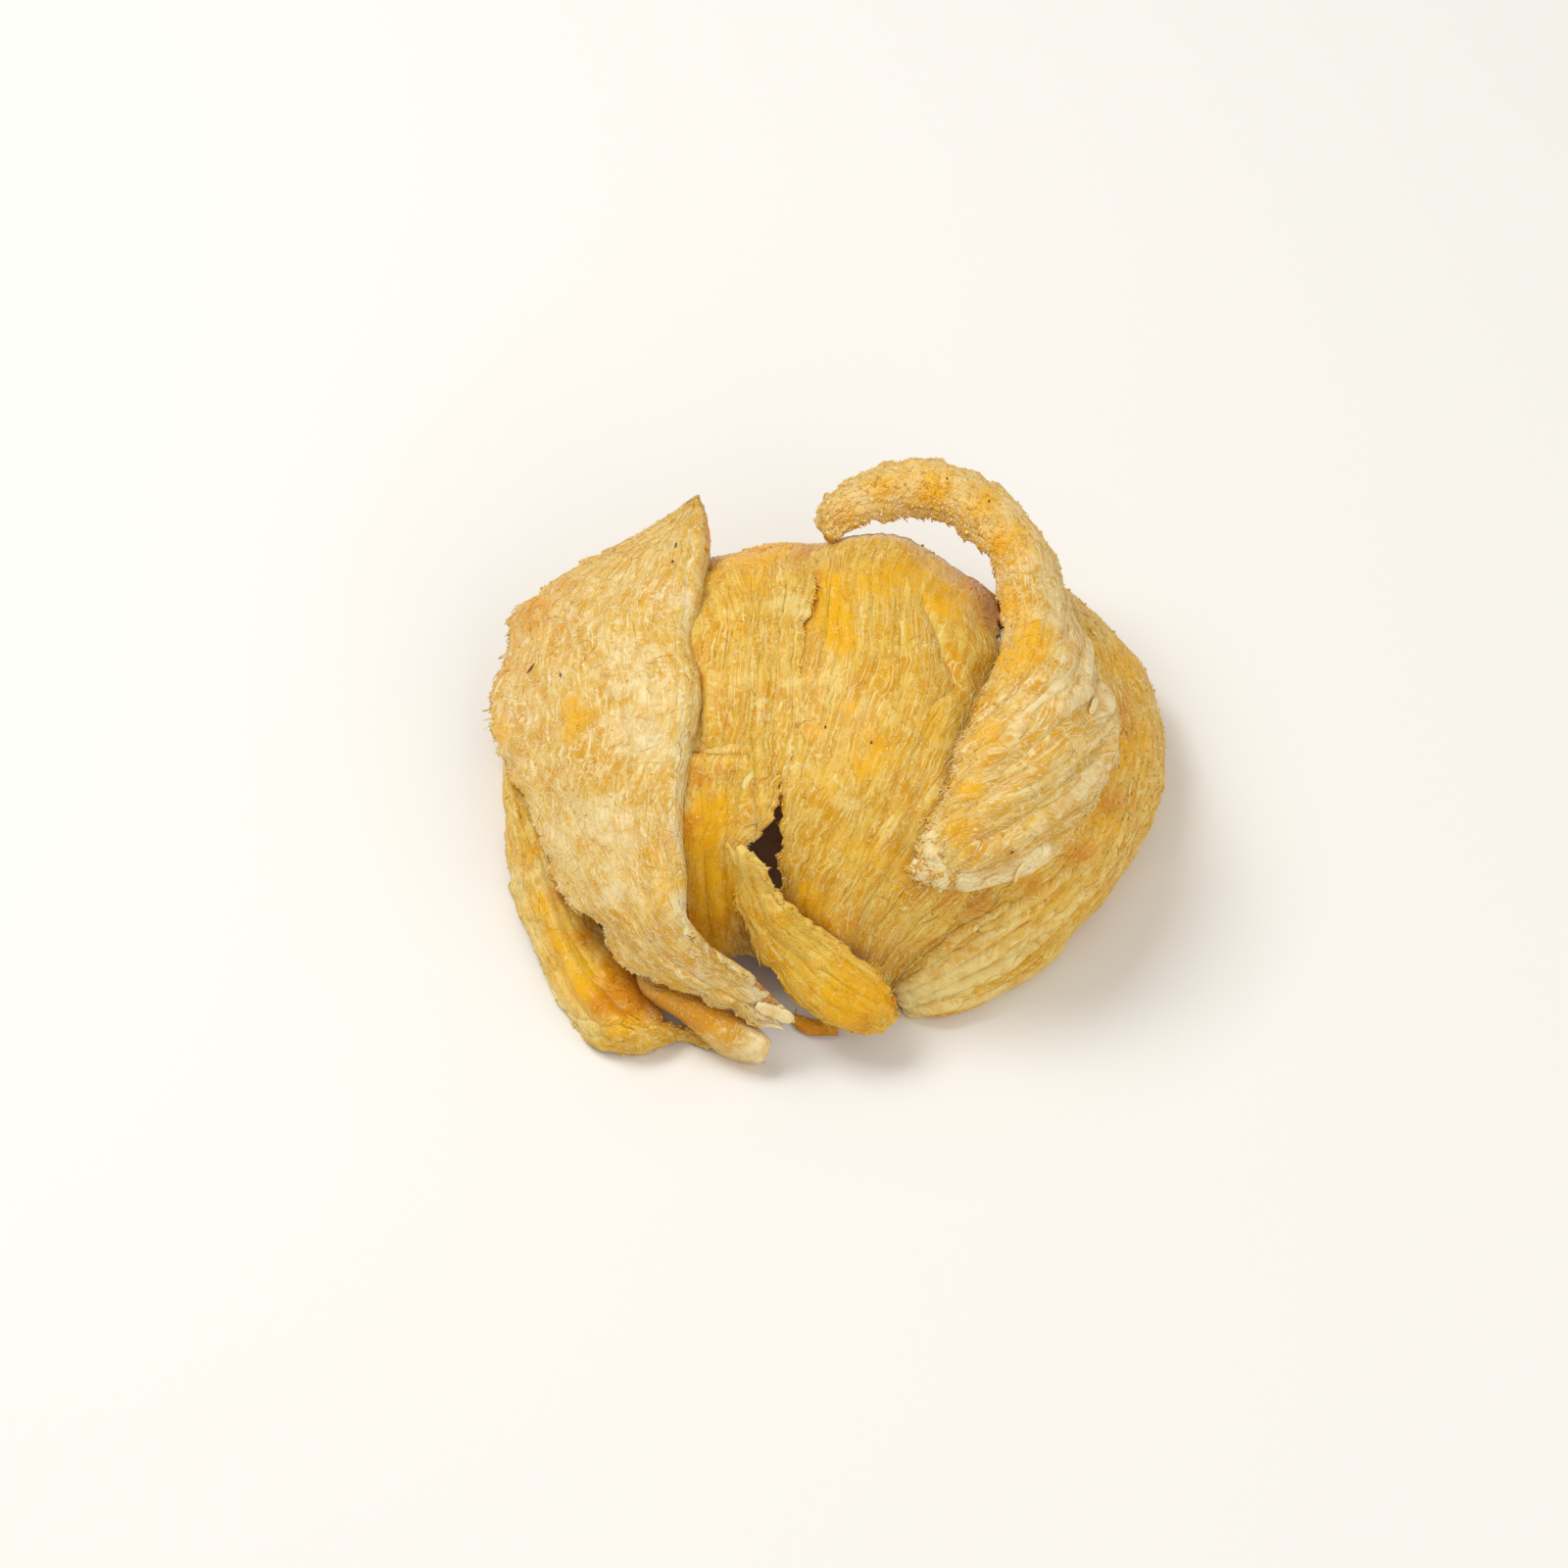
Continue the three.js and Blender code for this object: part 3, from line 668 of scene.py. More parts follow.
sheets["centre_dome"] = dict(
    coat="golden", thick=2.6, edgeShare=0.3, bundle=0.45, crumb=0.16, lump=0.55, fray=0.7, frill=0.05,
    cells=(200, 176), seed=11, long=2300, matted=900, stub=300, crumbs=2600, rimCrumbs=0.12,
    visible=(0.12, 0.99), drift=((0, 0.42, 0.58, 1), (0, 0, -5, -24)),
    folds=[((16,26, 18,21, 19.5,16, 22,12, 20.8,10.2), 1.2, 0.5), ((6,-6, 4,-16, -1,-25), 1.6, 0.5),
        ((16,-4, 13,-16, 5,-27), 1.8, 0.5), ((24,-12, 18,-24, 9,-34), 1.8, 0.5),
        ((11,33, 12,20, 12,8), 2, 0.35), ((11,-12, 7,-22, 1,-31), 1, -0.5),
        ((20,-10, 15,-22, 7,-33), 1, -0.5)],
    ribs=[((15.8,26, 17.6,21.5, 19.2,17, 21.6,13.4, 22,11.8, 20.6,10.2, 17,8), 0.69, 0.55, 0.4),
        ((11.5,23.5, 12.4,20, 12.2,16), 0.38, 0.31, 0.28),
        ((-6.5,7, -5.2,5.2, -2.6,4.8, -1,5.8), 0.28, 0.31, 0.54)],
    yolk=[(0,28, 3,1), (2,23, 3,0.8), (3,18.5, 2.2,1), (-0.5,22, 2,0.5), (-3,25, 2,0.6), (9,30, 4,0.7),
        (8,0, 3.5,0.6), (15,31, 3,0.5), (-2,3.5, 1.5,0.5), (5.5,-3, 2,0.5), (10,13, 3,0.3), (17,5, 3,0.4),
        (3,-16, 3,0.4), (-1,-5, 3,0.4), (20,26, 4,0.7), (4,7, 3,0.4), (12,-18, 4,0.5), (-3,-24, 3.5,0.8),
        (0,-30, 3,0.5)],
    # the amber patches along the back edge are painted glow through the thin edge, the one at (-2,29)
    # painted shade under the band's edge
    amber=[(26,30, 3.5,0.9), (28.6,24.5, 3.5,0.9), (21,34.5, 3,0.7), (-2,29, 1.8,1), (14,34, 3,0.4),
        (22,-24, 4,0.4), (12,-36, 4,0.4), (-7,-26, 2.5,0.5), (27,4, 3,0.4), (3,-30, 5,0.4), (11,3, 2,0.35)],
    pale=[(23,2, 4,0.4), (21,-8, 4,0.35), (-4,-2, 3.5,0.35), (-3,8, 3,0.3), (19,20, 2,0.3), (3,-8, 4,0.3),
        (0,12, 3,0.3)],
    granular=[(-4,6, 4,0.8), (-4,-8, 4,0.7), (4,-2, 5,0.5), (20,36, 4,0.6), (27,28, 4,0.6)],
    matting=[(4,2, 8,0.7), (20,8, 6,0.5)],
    specks=[(-0.6,4.4, 0.5,1.4), (7.2,1.8, 0.5,1.2)],
    rows=[(-4,20,-1, 11,23,-1, 26,14,-1), (-4,30,16, 12,34.5,18, 30.5,23,13),
        (-3,34.5,29, 11,37.5,31, 30.5,26,24), (-5.5,32.5,37.6, 9,33,41.5, 30,21,33),
        (-7.5,22,41.6, 9,20,46, 30,11,36), (-8.4,8,41.6, 9,5,44.5, 29.5,0,36),
        (-8.5,-5,37.8, 8,-8,39.5, 28,-11,33.5), (-8.6,-15.5,30.5, 6,-19,31.5, 27,-19,28),
        (-7.4,-25.5,21.5, 5,-28,22.5, 23,-27,20.5), (-2,-33.5,12.5, 6,-35.5,12, 15.5,-34.5,12),
        (4,-39,4.5, 8,-40.4,4, 11.5,-40,5)])
sheets["right_cup"] = dict(
    coat="golden", thick=3.2, edgeShare=0.35, bundle=0.4, crumb=0.34, lump=0.55, fray=0.5,
    cells=(220, 160), seed=23, long=2200, matted=1300, stub=320, crumbs=6500, visible=(0.1, 0.99),
    folds=[((12.5,-41.6, 22,-37.2, 32,-30.5, 42,-21, 46,-12), 1.2, 0.6),
        ((14,-42.6, 25,-39.8, 34,-34.2, 43,-26, 49,-17), 1.1, 0.5),
        ((14,-39.5, 22,-33.5, 31,-27, 38,-20), 1.2, 0.5), ((18,-39.5, 28,-34, 38,-26), 0.8, -0.45),
        ((15,-41.2, 24,-38.4, 33,-32.6), 0.6, -0.4), ((52.5,16, 54.5,6, 53.5,-6, 50,-14), 1.4, 0.4)],
    ribs=[((13,-39.8, 20,-35.4, 28,-30, 35,-25), 0.5, 0.7, 0.45),
        ((13.6,-40.8, 21,-37.4, 29,-32.6, 37,-26.6), 0.45, 0.8, 0.55),
        ((12.6,-42, 20,-40, 28,-36.8, 36,-31), 0.5, 0.8, 0.6),
        ((14,-43, 23,-42, 31,-38.4, 39,-32.4), 0.5, 0.7, 0.5),
        ((30,-34, 38,-28.6, 44,-22.6), 0.45, 0.6, 0.45), ((26,-29, 33,-24.6, 40,-20), 0.45, 0.6, 0.4),
        ((17,-35.6, 23,-30, 30,-25.4), 0.4, 0.5, 0.35), ((42,-24, 47,-18, 50,-11), 0.5, 0.5, 0.35),
        ((20,-38.4, 27,-34.6, 33,-30), 0.3, -0.6, 0), ((18,-41, 26,-39, 33,-34.6), 0.3, -0.6, 0)],
    yolk=[(50,16, 4,0.5), (49,0, 4,0.6), (46,-12, 4,0.5), (54,2, 3,0.3), (36,-24, 5,0.4)],
    # the amber patches near the curled wing's edge are painted shade under it, those between the ribs
    # painted shade in the creases
    amber=[(48.5,8, 3,0.8), (47,-8, 3,0.7), (51.5,3, 2,0.4), (42,-17, 3,0.5), (34,-21.5, 3,0.5),
        (25,-24.5, 3,0.6), (17,-31, 3.5,0.6), (51,17, 2,0.4), (54,-12, 2,0.3), (24,-33.6, 1.6,0.4),
        (33,-29, 1.6,0.4)],
    pale=[(21,-39, 4,0.4), (14.5,-41.5, 3,0.6), (28,-36, 4,0.3), (56,8, 2.5,0.5), (57,-4, 2,0.5),
        (55,16, 2.5,0.4), (54,-16, 2.5,0.4), (40,-27, 3,0.3)],
    granular=[(53,14, 7,1), (56,0, 7,1), (53,-13, 7,0.9), (46,22, 6,1), (49,-5, 5,0.9), (48,8, 5,1),
        (46,-18, 5,0.5)],
    matting=[(50,-2, 10,0.8)],
    rows=[(31.5,23,-1, 32.5,30.5,8, 32.5,33,17, 33,31,23), (37,20,-1, 41,26.5,9, 39.5,28.5,18, 37,26,27),
        (42,14,-1, 48.5,20.5,9.5, 46,20,19.5, 38,20,31), (46,7,-1, 54.8,12.5,9, 49.5,12,20.5, 38,13,34),
        (48,-2,-1, 57.6,3.5,8, 52,3,20, 39,4,33), (48,-11,-1, 56.8,-6.5,6.5, 50.5,-6.5,18, 38,-5,31.5),
        (45,-19,-1, 53.2,-15,5.5, 47,-14.5,16.5, 36,-13,29),
        (40,-26,-1, 46.4,-24.5,4.5, 41,-22,15, 31,-17.4,27),
        (33,-33.5,-1, 38.5,-32.6,4, 34,-28.5,13, 25.4,-22.2,23.2),
        (25.5,-38.5,-1, 29.8,-39,3.2, 26,-34.5,10.5, 18.8,-27.2,19.4),
        (18,-42,-1, 20.6,-43.3,2.6, 17.5,-39,7.5, 14,-34.5,12),
        (12.8,-41.6,-0.6, 12.6,-42.6,2.2, 11.5,-41,4.5, 10.8,-39.6,6)])
sheets["left_cup"] = dict(
    coat="golden", thick=2.8, edgeShare=0.35, taper=3, bundle=0.6, crumb=0.3, lump=0.6, fray=0.8,
    cells=(220, 76), seed=37, long=1300, matted=500, stub=300, crumbs=1600, rimCrumbs=0.3,
    visible=(0.3, 0.99),
    folds=[((-52,-18, -49,-29, -43.5,-41, -38,-47.5), 1, 0.5),
        ((-49.5,-19, -45.5,-29.5, -40,-39.5, -35,-45), 1, 0.5),
        ((-50.8,-18.5, -47.2,-29.5, -41.8,-40.4, -36.6,-46.5), 0.6, -0.4)],
    ribs=[((-50.5,-20, -46.5,-30.5, -42,-39, -36,-44), 0.5, 0.45, 0.4),
        ((-52.4,-22, -49,-32, -44.6,-41, -39,-46.6), 0.5, 0.5, 0.5),
        ((-53.6,-20, -51.4,-30, -47.6,-39.5, -42,-47.5), 0.6, 0.5, 0.5),
        ((-46,-45.4, -41,-47.8, -35,-48.6), 0.5, 0.5, 0.5),
        ((-46.8,-43.4, -41.4,-45.8, -36,-46.8), 0.4, 0.4, 0.4),
        ((-48.8,-22, -44.6,-31.6, -40.6,-37.4), 0.4, 0.35, 0.3)],
    yolk=[(-45,-33, 4,0.7), (-40,-40, 4,0.8), (-48.5,-26, 3,0.6), (-34,-45, 3,0.6), (-51,-17, 2.5,0.5),
        (-37,-48, 2.5,0.4), (-44.5,-40, 3,0.5)],
    # amber here is partly the cup's deeper colour, partly painted shade where the left wing's edge overhangs
    # the cup
    amber=[(-36.5,-37.5, 3.5,0.9), (-42,-31, 2.6,0.8), (-46,-24.5, 2.2,0.7), (-32.5,-41.5, 3.5,0.9),
        (-50,-16, 2,0.5), (-28,-45, 3,0.7), (-39,-43, 2.5,0.6), (-35,-43, 3,0.7)],
    pale=[(-55,-22, 4,0.6), (-51.5,-33, 3.5,0.5), (-47,-42, 3.5,0.5), (-43,-48, 4,0.6), (-30.5,-45, 2,0.5)],
    granular=[(-29,-43.5, 4,0.9), (-34,-39, 4,0.8), (-33,-49, 3,0.6), (-40,-36, 4,0.6)],
    rows=[(-27,22,-1, -27,27,9, -26,28.5,19), (-36,25,-1, -38,30.5,9, -34,31,22),
        (-47,19,-1, -50,23,8, -44,21.5,19), (-54.5,4,-1, -54,6,7, -48,3,13),
        (-55,-8,0, -54.5,-6.5,7.5, -48,-8,12), (-55.9,-15,1, -51.5,-15.5,10, -44,-17,12),
        (-54.3,-24.5,0.6, -49,-25,9.5, -41,-25.5,10), (-50.6,-34,0.4, -45.5,-33.8,8, -37,-32.5,6.5),
        (-46.2,-43.5,0.2, -41,-41.5,7.5, -32,-39,4.5), (-40.5,-50,0, -37,-47,6, -30,-43.4,3.6),
        (-33,-51.2,-0.2, -31,-48.8,4, -27.6,-46.3,3.2), (-26,-49,0.4, -25,-48.2,1.6, -24,-47.3,2.4),
        (-20.6,-50.8,0.4, -20.2,-50.3,0.8, -19.8,-49.8,1.2)])
sheets["ribbed_band"] = dict(
    coat="golden", thick=2.2, edgeShare=0.3, taper=3.5, bundle=0.5, crumb=0.26, lump=0.5, fray=0.8,
    frill=0.1, cells=(240, 96), seed=41, long=1900, matted=600, stub=260, crumbs=2400, visible=(0.12, 0.99),
    folds=[((-9,33, -8.5,20, -9,8, -9.5,-4), 0.8, 0.35), ((-13,30, -13.5,15, -14,3), 0.8, 0.35),
        ((-17,29, -17.8,15, -18,3), 0.8, 0.35), ((-21,27, -22,12, -22,2), 0.9, 0.35),
        ((-3.6,29, -5.4,19, -6.6,8), 1.4, 0.4), ((-11,14, -12,2, -11,-10), 0.5, -0.4),
        ((-21.5,-3, -21,-16, -20,-30), 0.8, 0.35), ((-17,-4, -16.5,-16, -16,-28), 0.8, 0.35)],
    ribs=[((-22.6,0.2, -20,1, -16.5,1.7, -12.8,1.3), 0.94, 0.62, 0.4),
        ((-21,-0.9, -17,-0.3, -13.4,-0.8), 0.28, 0.31, 0.46),
        ((-16.6,-20, -17.2,-24, -16.8,-28.4), 0.75, 0.55, 0.18),
        ((-12.6,-8, -12.2,-14, -12.8,-19.4), 0.88, 0.47, 0.46)],
    sunk=[(-40, -12.2, -33, -0.4, 1.3)],
    yolk=[(-20,-22, 4.5,1), (-21,-30, 4,0.9), (-19,-9, 4,0.8), (-16,22, 3,0.3), (-12,28, 4,0.3),
        (-23,30, 4,0.3), (-22,-14, 4,0.8), (-16,-24, 3,0.6), (-9,36.5, 3.5,0.9), (-17,36, 3.5,0.9),
        (-13,34, 3,0.8)],
    # amber here is mostly painted shade: under the left wing's edge, above the raised ledge, and darkening
    # the back top edge
    amber=[(-22,-4, 2.5,0.6), (-17,-4, 2,0.5), (-23.5,-12, 2.5,0.6), (-17.5,-16, 2.5,0.4),
        (-17,-28, 3,0.5), (-23,-27, 3,0.5), (-24,6, 2,0.5), (-9,38, 3,0.5), (-17,38, 3,0.5),
        (-22,0.5, 1.5,0.3), (-22,33, 3,0.4), (-13,35, 3,0.35), (-4,35, 2.5,0.5), (-14,-7, 2,0.3),
        (-17,5, 1.2,0.5), (-13,4, 1.2,0.4)],
    pale=[(-4.5,24, 3,0.6), (-6,12, 3,0.4), (-11,-12, 3,0.4), (-16,24, 4,0.3), (-17,14, 3,0.3),
        (-8,26, 2.5,0.5), (-17,1.2, 2,0.3)],
    granular=[(-16,36, 5,0.9), (-8,36, 4,0.9), (-22,33, 5,0.7), (-21,-4, 4,0.6)],
    matting=[(-12,36, 8,0.8)],
    specks=[(-8.2,-7.6, 0.7,1.3), (-25.2,-3.4, 2.2,1.4)],
    rows=[(-25,17,-1, -14,20,-1, -5,20,-1), (-26,27,14, -14,31,16, -4.5,30.5,16),
        (-27,31.5,26, -14,35,29, -1.5,36.6,30), (-28,29.5,35.5, -14,31,40, -2,31.8,41.3),
        (-28.5,21,39, -14,22,43.5, -3.8,23,44.6), (-28.5,10,38.5, -14,10,43, -5,10,43.6),
        (-28.5,0,35, -15,0,38.5, -6,0,40.8), (-29,-10,29.5, -17,-10,32.5, -9.6,-10,35.6),
        (-28.5,-19,23, -20,-19,24.5, -13,-18.6,29), (-27,-27.5,15.5, -19,-28,16.5, -12.5,-28,17.5),
        (-24,-33.5,8.5, -17,-34.8,8.5, -11.5,-34.3,9.5)])
sheets["left_wing"] = dict(
    coat="cream", thick=2.2, edgeShare=0.18, bundle=0.32, crumb=0.2, lump=0.5, fray=1.15, cells=(220, 160),
    seed=53, long=2000, matted=2100, stub=360, crumbs=5200, rimCrumbs=0.3, visible=(0.02, 0.99),
    folds=[((-27,36, -26.4,24, -26,10, -27.5,-2), 1, 0.35), ((-30,30, -30.5,14, -31,0), 1.2, 0.3),
        ((-35,6, -33,-10, -30.5,-24), 1.4, 0.35), ((-44,-8, -37,-22, -29,-34), 1.4, 0.35),
        ((-33,-4, -31,-16, -28.5,-26), 0.8, -0.35), ((-22.2,43, -22.8,37, -23.4,31, -24.2,22), 0.6, -0.7),
        ((-28,-34, -20,-39.5, -12,-43.5), 0.9, 0.5), ((-25,-37, -17,-42, -10,-45.6), 0.6, -0.45)],
    ribs=[((-46.5,17, -43.5,18.5, -40.5,20.5), 0.28, 0.31, 0.36),
        ((-41,14.2, -38,15.2, -35,16.8), 0.25, 0.31, 0.54),
        ((-12.4,-43, -9.6,-44.2, -6.2,-45.6), 1.38, 0.7, 0.82),
        ((-17,-39, -13.5,-39.6, -10.8,-41), 0.94, 0.55, 0.54),
        ((-24.4,-24, -24.8,-27, -23.4,-30), 0.75, 0.47, 0.64),
        ((-26.6,-5, -26.2,-1, -25,3), 0.62, 0.39, 0.36),
        ((-23.6,41, -24.4,31, -25.4,21, -24.2,11, -25.8,1), 0.4, 0.35, 0.7),
        ((-26.6,-6, -27.4,-11, -24.4,-22, -23.6,-27), 0.5, 0.4, 0.8)],
    yolk=[(-43,7, 2.5,0.9), (-56,4, 3,0.6), (-44,3.5, 2,0.5), (-27,-40, 3,0.5), (-51,27, 3,0.5),
        (-27,-22, 3,0.4), (-49,21, 2.5,0.4), (-31,-17, 2.5,0.35), (-17,-40.5, 2.5,0.4), (-53,-5, 3,0.4)],
    # the patches at (-20.5,39.5) and (-20.5,36) are painted shade on the flap behind the tip
    amber=[(-50,25, 3.5,0.55), (-45,30, 3,0.45), (-37,36, 3,0.4), (-57,16, 3,0.4), (-52,15, 4,0.3),
        (-54,22, 3,0.4), (-27,-14, 3,0.35), (-38,-28, 3,0.3), (-20.5,39.5, 1.8,1), (-20.5,36, 1.5,0.9),
        (-16,-44.5, 2,0.5), (-48,8, 3,0.3)],
    pale=[(-9,-45.4, 2.5,1), (-25,-26, 2.5,0.7), (-33,14, 6,0.65), (-30,2, 5,0.6), (-36,4, 5,0.35),
        (-34,-16, 5,0.4), (-46,-14, 5,0.5), (-38,-10, 5,0.5), (-36,-24, 4,0.5), (-22,-37, 3,0.5),
        (-27,28, 3,0.4), (-56,8, 2,0.3), (-40,22, 3,0.3), (-14,-41, 2,0.4)],
    granular=[(-54,14, 8,0.7), (-50,0, 8,0.6), (-46,26, 7,0.6), (-44,-12, 7,0.6), (-40,10, 8,0.5)],
    matting=[(-48,8, 14,0.9), (-42,-14, 9,0.6), (-36,26, 8,0.5)],
    # the first flake, the flap behind the tip, has a darker tone as painted shade
    flakes=[((-22.6,44.4, -21.4,41.6, -20.6,38.6, -20.9,35.6), 2.8, 0.8, -1, 0.3, 0),
        ((-12.4,-43, -9.6,-44.2, -6.2,-45.6), 3, 0.7, 0.1, 0.8, 0.6)],
    specks=[(-52.6,14.2, 2.2,0.9), (-46.5,13.5, 0.7,1.6), (-26.6,36, 0.9,1.3), (-27.1,33.3, 0.5,1.2)],
    rows=[(-24.8,43.4,40, -23.6,44.4,41.5, -22.8,45,41.5, -22.2,44.6,40),
        (-34.2,37.8,33, -28,38.5,38, -23.6,39,41.5, -20.6,36.5,36.5),
        (-44.8,32.8,22.5, -33,32.5,36, -24.2,31,43, -22.4,27.5,38.5),
        (-54,25,14.5, -38,25,35.5, -25.6,22,43.5, -24.2,19,40),
        (-57.8,13,10.5, -40,13,35, -23.6,12,43.8, -22.8,9.5,41),
        (-57.2,1.5,10, -41,1,32, -25.4,1.5,39.5, -24.4,0,37.5),
        (-53.2,-8,13, -40,-9,28.5, -27,-9,34, -26.2,-10,32),
        (-48.2,-19.2,15.5, -37,-19.5,25.5, -26,-19,29.5, -25,-20.5,28),
        (-41.2,-28.8,16, -33,-28.6,22.5, -25.4,-27.5,26, -24.8,-28.6,24.5),
        (-32,-37.7,13.5, -26,-35.6,18.5, -21.2,-33.3,21.5, -20.6,-34.2,20.5),
        (-20,-43.2,11, -17,-41.3,13.5, -13.5,-38.8,16, -13,-39.4,15),
        (-9.5,-47.6,8.5, -8.2,-46.6,9.2, -6.8,-45.3,10, -6.4,-45.2,10)])
sheets["left_foot"] = dict(
    coat="cream", thick=4.4, edgeShare=0.45, taper=2.5, bundle=0.35, crumb=0.15, lump=0.5, fray=0.3,
    frill=0.3, cells=(64, 34), seed=61, long=320, matted=120, stub=40, crumbs=300, rimCrumbs=0.3,
    visible=(0.02, 0.99), shaded=0,
    yolk=[(-24,-44, 5,0.5), (-19,-47, 4,0.4)],
    # painted shade: the foot lies in the shade under the left wing's end
    amber=[(-27,-42, 4,1), (-22,-44, 4,0.8), (-17,-47, 3,0.5)],
    pale=[(-12.5,-49.6, 3,0.7)],
    granular=[(-13,-50, 3,0.5)],
    rows=[(-33.6,-35.6,8.8, -32.6,-37.8,8.4, -31.2,-40.4,5.2),
        (-28.6,-39.2,8.8, -27.9,-41.2,8.8, -27.2,-43.2,4.8),
        (-22.5,-42.6,8, -22.3,-44.6,8, -22.2,-46.6,3.6), (-15.8,-45.7,6, -16.5,-48.3,6.2, -18.3,-50.6,0.6),
        (-11.6,-48.6,5, -12.2,-50.2,4.8, -14,-51.9,0.4), (-10.6,-50,4.5, -11,-50.6,4.2, -11.8,-51.3,0.8)])
sheets["curled_wing"] = dict(
    coat="cream", thick=4, edgeShare=0.2, bundle=0.42, crumb=0.22, lump=0.3, fray=0.8, frill=0.6,
    cells=(270, 96), seed=73, long=2300, matted=1500, stub=900, crumbs=9500, visible=(0.01, 0.99),
    drift=((0, 0.5, 0.62, 0.85, 1), (0, 0, 5, 22, 26)),
    folds=[((44,22, 42.7,15.4, 43,10.7, 39,7.3, 34.4,4.4), 1.1, 0.6),
        ((40.9,18.5, 37.7,12.2, 31,5.5, 28,2.5), 1.2, 0.6),
        ((46.6,8.6, 42.7,2.9, 36.2,-2.3, 31,-7.5, 25.2,-12), 1.3, 0.6),
        ((48,4, 45,-3, 39,-9, 31,-14.6, 24,-18), 1.2, 0.6), ((36,12, 32,4, 26,-4, 22,-10), 1.2, 0.5),
        ((41,8, 37,2.5, 31,-2.5, 26,-8), 0.7, -0.6), ((45,2, 40,-4, 33,-10.5, 26,-15), 0.7, -0.6),
        ((45.6,-6, 41,-12, 34,-16.4), 0.8, -0.4), ((34,34, 35,26, 34.5,18), 1.4, 0.4),
        ((5,43.5, 14,49, 22,47.5, 30,41.5, 35.5,33), 1.6, 0.4)],
    ribs=[((43.6,20, 42.8,14.4, 42.2,9.6, 38.4,6.8), 0.56, 0.39, 0.46),
        ((38.4,10.6, 34.2,5.8, 30.4,1.2), 0.56, 0.39, 0.46),
        ((46.2,7.6, 44.8,9.4, 46,10), 0.88, 0.47, 0.54),
        ((33.5,-18.5, 32.4,-20, 31.8,-22), 0.44, 0.39, 0.72),
        ((36,-16.5, 30,-19.4, 23,-20.6), 0.81, 0.55, 0.72),
        ((14.6,-12.6, 15,-16, 16.4,-19.6), 1.25, 0.86, 0.72),
        ((17.4,-14, 17.6,-17.4, 19,-20.4), 1, 0.78, 0.64),
        ((44.6,-2, 40,-7.6, 34.2,-12.4), 0.5, 0.39, 0.36)],
    yolk=[(17,45.5, 2.5,0.5), (30,36, 2.5,0.5), (33.5,23, 3,0.5), (35,17, 3,0.9), (36.5,19.5, 2,0.7),
        (31,13, 3,0.5), (27,2, 3,0.6), (24,-6, 3,0.7), (22,-13, 2.5,0.8), (9,46, 3,0.5), (4,42, 2.5,0.6),
        (20,46, 3,0.6), (27,43, 3,0.6), (33,33, 2.5,0.5), (14,49, 2.5,0.5), (30,24, 2.5,0.5),
        (12,44, 2.5,0.5), (31,38, 2.5,0.5), (32,27, 2,0.4), (28.5,16, 2,0.5), (25.5,8, 2,0.5)],
    amber=[(30,31, 2,0.4), (27,9, 2,0.4), (2,41, 2,0.4), (12,44, 2,0.35), (30,-17, 2,0.5),
        (37,-13, 3,0.35), (26,-14, 2,0.4), (34,2, 2,0.3)],
    pale=[(16,-17, 2.6,0.4), (18,-21, 2.4,0.4), (43,-6, 5,0.4), (45,5, 4,0.4), (30,-20, 3,0.4),
        (38,-17, 3,0.4), (24,-21.5, 2.5,0.4), (38,22, 4,0.5), (33,8, 3,0.3), (40,12, 4,0.4),
        (37,28, 2.5,0.4), (22,-9, 2,0.3), (5,44, 4,0.45), (14,47.5, 4,0.45), (23,46.5, 4,0.4),
        (31,41, 4,0.45), (34.5,32, 3,0.45), (30.5,22, 3,0.4), (29,30, 2,0.5), (12,43, 2,0.4)],
    granular=[(2,42, 5,1), (9,46, 5,1), (16,46, 5,1), (24,44, 5,1), (30,38, 5,1), (32,31, 4.5,1),
        (31,23, 4,1), (28,14, 4,0.9), (24,5, 3.5,0.8), (21,-3, 3,0.6), (16,-19, 4,1)],
    coarse=[(16,-17, 4,1), (18,-21, 4,1), (27,-20, 5,0.6)],
    matting=[(30,36, 8,0.8), (12,46, 10,0.8)],
    flakes=[((33.5,-18.5, 32.4,-20, 31.8,-22), 0.8, 0.3, 0.2, 0.8, 0.6),
        ((45,7, 46.2,9.8), 1.4, 0.4, 0.2, 0.8, 0.4)],
    specks=[(20.8,48, 0.4,1.6), (31,-17, 0.7,0.6), (28,44, 0.5,1.2)],
    rows=[(-1.9,40.3,36.5, -1,38.8,37, 0,36.9,38), (0,44.8,37.5, 2,42.3,38.5, 4.5,39.3,38.5),
        (7,49.5,38.5, 8,45.3,40, 9,41,38.5), (14.8,51.6,38.5, 14.6,46.8,40.5, 14.5,42,38),
        (22.2,50.4,37.5, 20.8,45.8,40, 19.5,41,37.5), (29.4,46.8,36, 26.8,42,39.5, 24.3,37.2,37),
        (35.6,40.6,34, 32,37.5,39, 28.7,33,37.5), (40,32,31.5, 35,30.5,39, 29.9,27,38),
        (42.6,23.5,29, 37,22,41, 30.2,19.5,40.5), (46.2,14,27.5, 38,13.5,43, 27.8,12.5,42.5),
        (49.8,6.3,28, 38.5,5.5,43, 25,7,43.5), (49,-1.5,29.5, 36.5,-2,41.5, 21.8,0,42.5),
        (45.6,-8.8,30.5, 33.5,-9,39, 19.4,-7.5,39.5), (40.4,-16.2,30.5, 29.5,-15.5,35.5, 16,-14,36),
        (31,-20.4,29.5, 23.5,-19.8,32, 14.4,-19,32.8), (22,-21.9,28.5, 18.5,-22,29.5, 15.2,-21.8,30.3)])
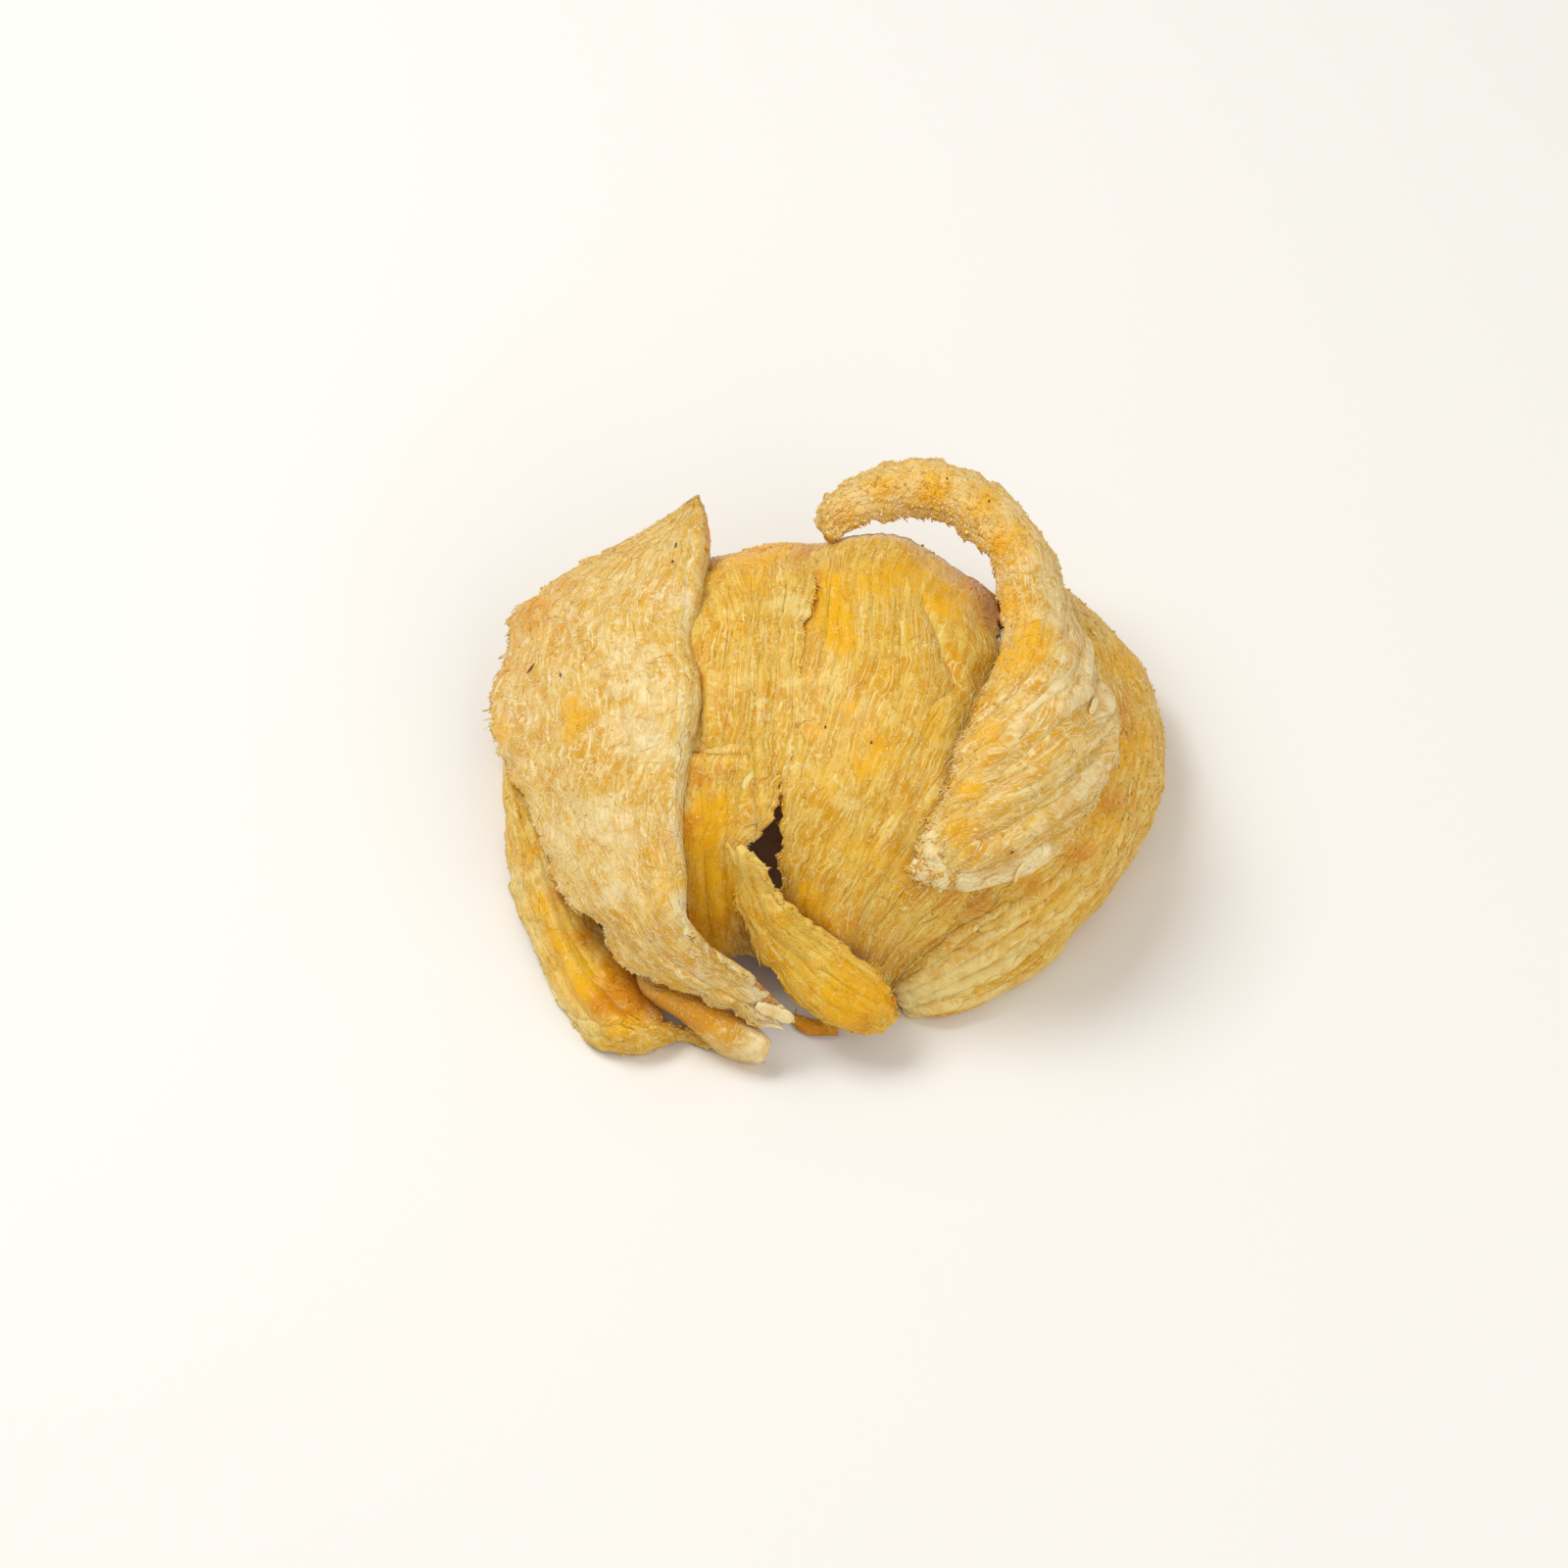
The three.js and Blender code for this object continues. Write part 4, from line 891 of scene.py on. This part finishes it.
sheets["front_tongue"] = dict(
    coat="amber", thick=3, edgeShare=0.35, taper=3, bundle=0.4, crumb=0.2, lump=0.7, fray=0.75, frill=0.4,
    cells=(120, 50), seed=83, long=700, matted=200, stub=90, crumbs=500, rimCrumbs=0.4,
    visible=(0.01, 0.99),
    folds=[((-12.6,-21, -8.6,-31, 0,-39, 7,-43.6), 0.9, 0.35),
        ((-10,-22, -4,-30.5, 4,-36.5, 10,-41), 0.9, 0.3)],
    ribs=[((-12.4,-22.5, -9.6,-30, -3.4,-36.6, 1,-40.5), 0.4, 0.4, 0.4),
        ((-9.8,-23.5, -5.2,-30, 0.6,-34.6, 6,-38), 0.4, 0.4, 0.4),
        ((-1,-36.6, 4,-40.4, 8,-42.6), 0.5, 0.5, 0.2),
        ((-11,-29, -7,-35.4, -1.6,-40.6, 3,-43.6), 0.4, 0.4, 0.3),
        ((-15.4,-30, -14.6,-32.6, -13,-34), 0.69, 0.47, 0.82), ((-9,-23, -5,-28, 0,-31.4), 0.5, 0.39, 0.36)],
    yolk=[(4,-42.5, 3,0.9), (0.5,-39.5, 2.5,0.6), (8,-41.5, 3,0.7), (-4,-36, 2,0.4), (4,-37.5, 2,0.3),
        (1.4,-44.2, 2,0.5)],
    amber=[(10,-37.5, 1.8,0.5), (6,-46, 2,0.5), (-8,-36, 2,0.4), (-3,-41, 2,0.4), (10.8,-42, 1.5,0.6)],
    pale=[(-14.5,-32.5, 1.2,0.9), (-12,-20, 3,0.6), (-10,-26, 3,0.5), (-15,-17, 3,0.5), (-2,-33, 2.5,0.3),
        (6.4,-40, 1.6,0.3)],
    granular=[(-8,-30, 4,0.4), (4,-40, 3,0.3)],
    rows=[(-17.2,-15.4,30.6, -15.3,-15.8,32.2, -13,-16.6,34.2),
        (-16,-23,24.5, -12.8,-22.8,27, -9.4,-22.2,29), (-14.2,-30,19.5, -10,-28.5,23, -5,-27.5,25),
        (-9.4,-37.5,14.5, -4.5,-34.8,18.5, 1.6,-31.7,20.5), (-3.6,-44.3,10, 2,-41,14.5, 7.5,-37,15.8),
        (4.2,-47.6,7, 8,-45.2,10, 11,-41.9,11.8), (8.9,-47.6,6, 10.4,-46.6,7, 11.6,-45,8)])
sheets["under_scrap"] = dict(
    coat="amber", thick=1.8, edgeShare=0.5, taper=1.5, bundle=0.2, crumb=0.15, lump=0.3, fray=0.2,
    frill=0.1, cells=(44, 24), seed=97, long=60, matted=20, stub=10, crumbs=60, rimCrumbs=0.3,
    visible=(0.02, 0.98),
    amber=[(-2,-47, 8,0.9)],
    rows=[(-8,-44,3, -7,-45,2.4, -6,-46,1.6), (-3.4,-45.5,2.6, -3.4,-47,1.6, -3.4,-48.3,0.2),
        (1.5,-46.5,2.2, 1.5,-47.5,1.2, 1.5,-48.3,0.4)])

total = 0
for name, values in sheets.items():
    form = {**plain, **values}
    sheet, lay = makeSheet(name, form)
    parts = [sheet, makeStrands(name, form, lay), makeCrumbs(name, form, lay)]
    if form["flakes"] or form["specks"]:
        parts.append(makeFlakes(name, form, lay))
    for part in parts:
        part.data.materials.append(coats[form["coat"], "sheet" if part is sheet else "strands"])
        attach(part, "root")
        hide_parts(name)
    counts = [sum(len(p.vertices) - 2 for p in part.data.polygons) for part in parts]
    total += sum(counts)
    print(name, "made,", round(lay["longest"]), "by", round(lay["width"]), "mm, triangles", counts, total)

print("finishing")
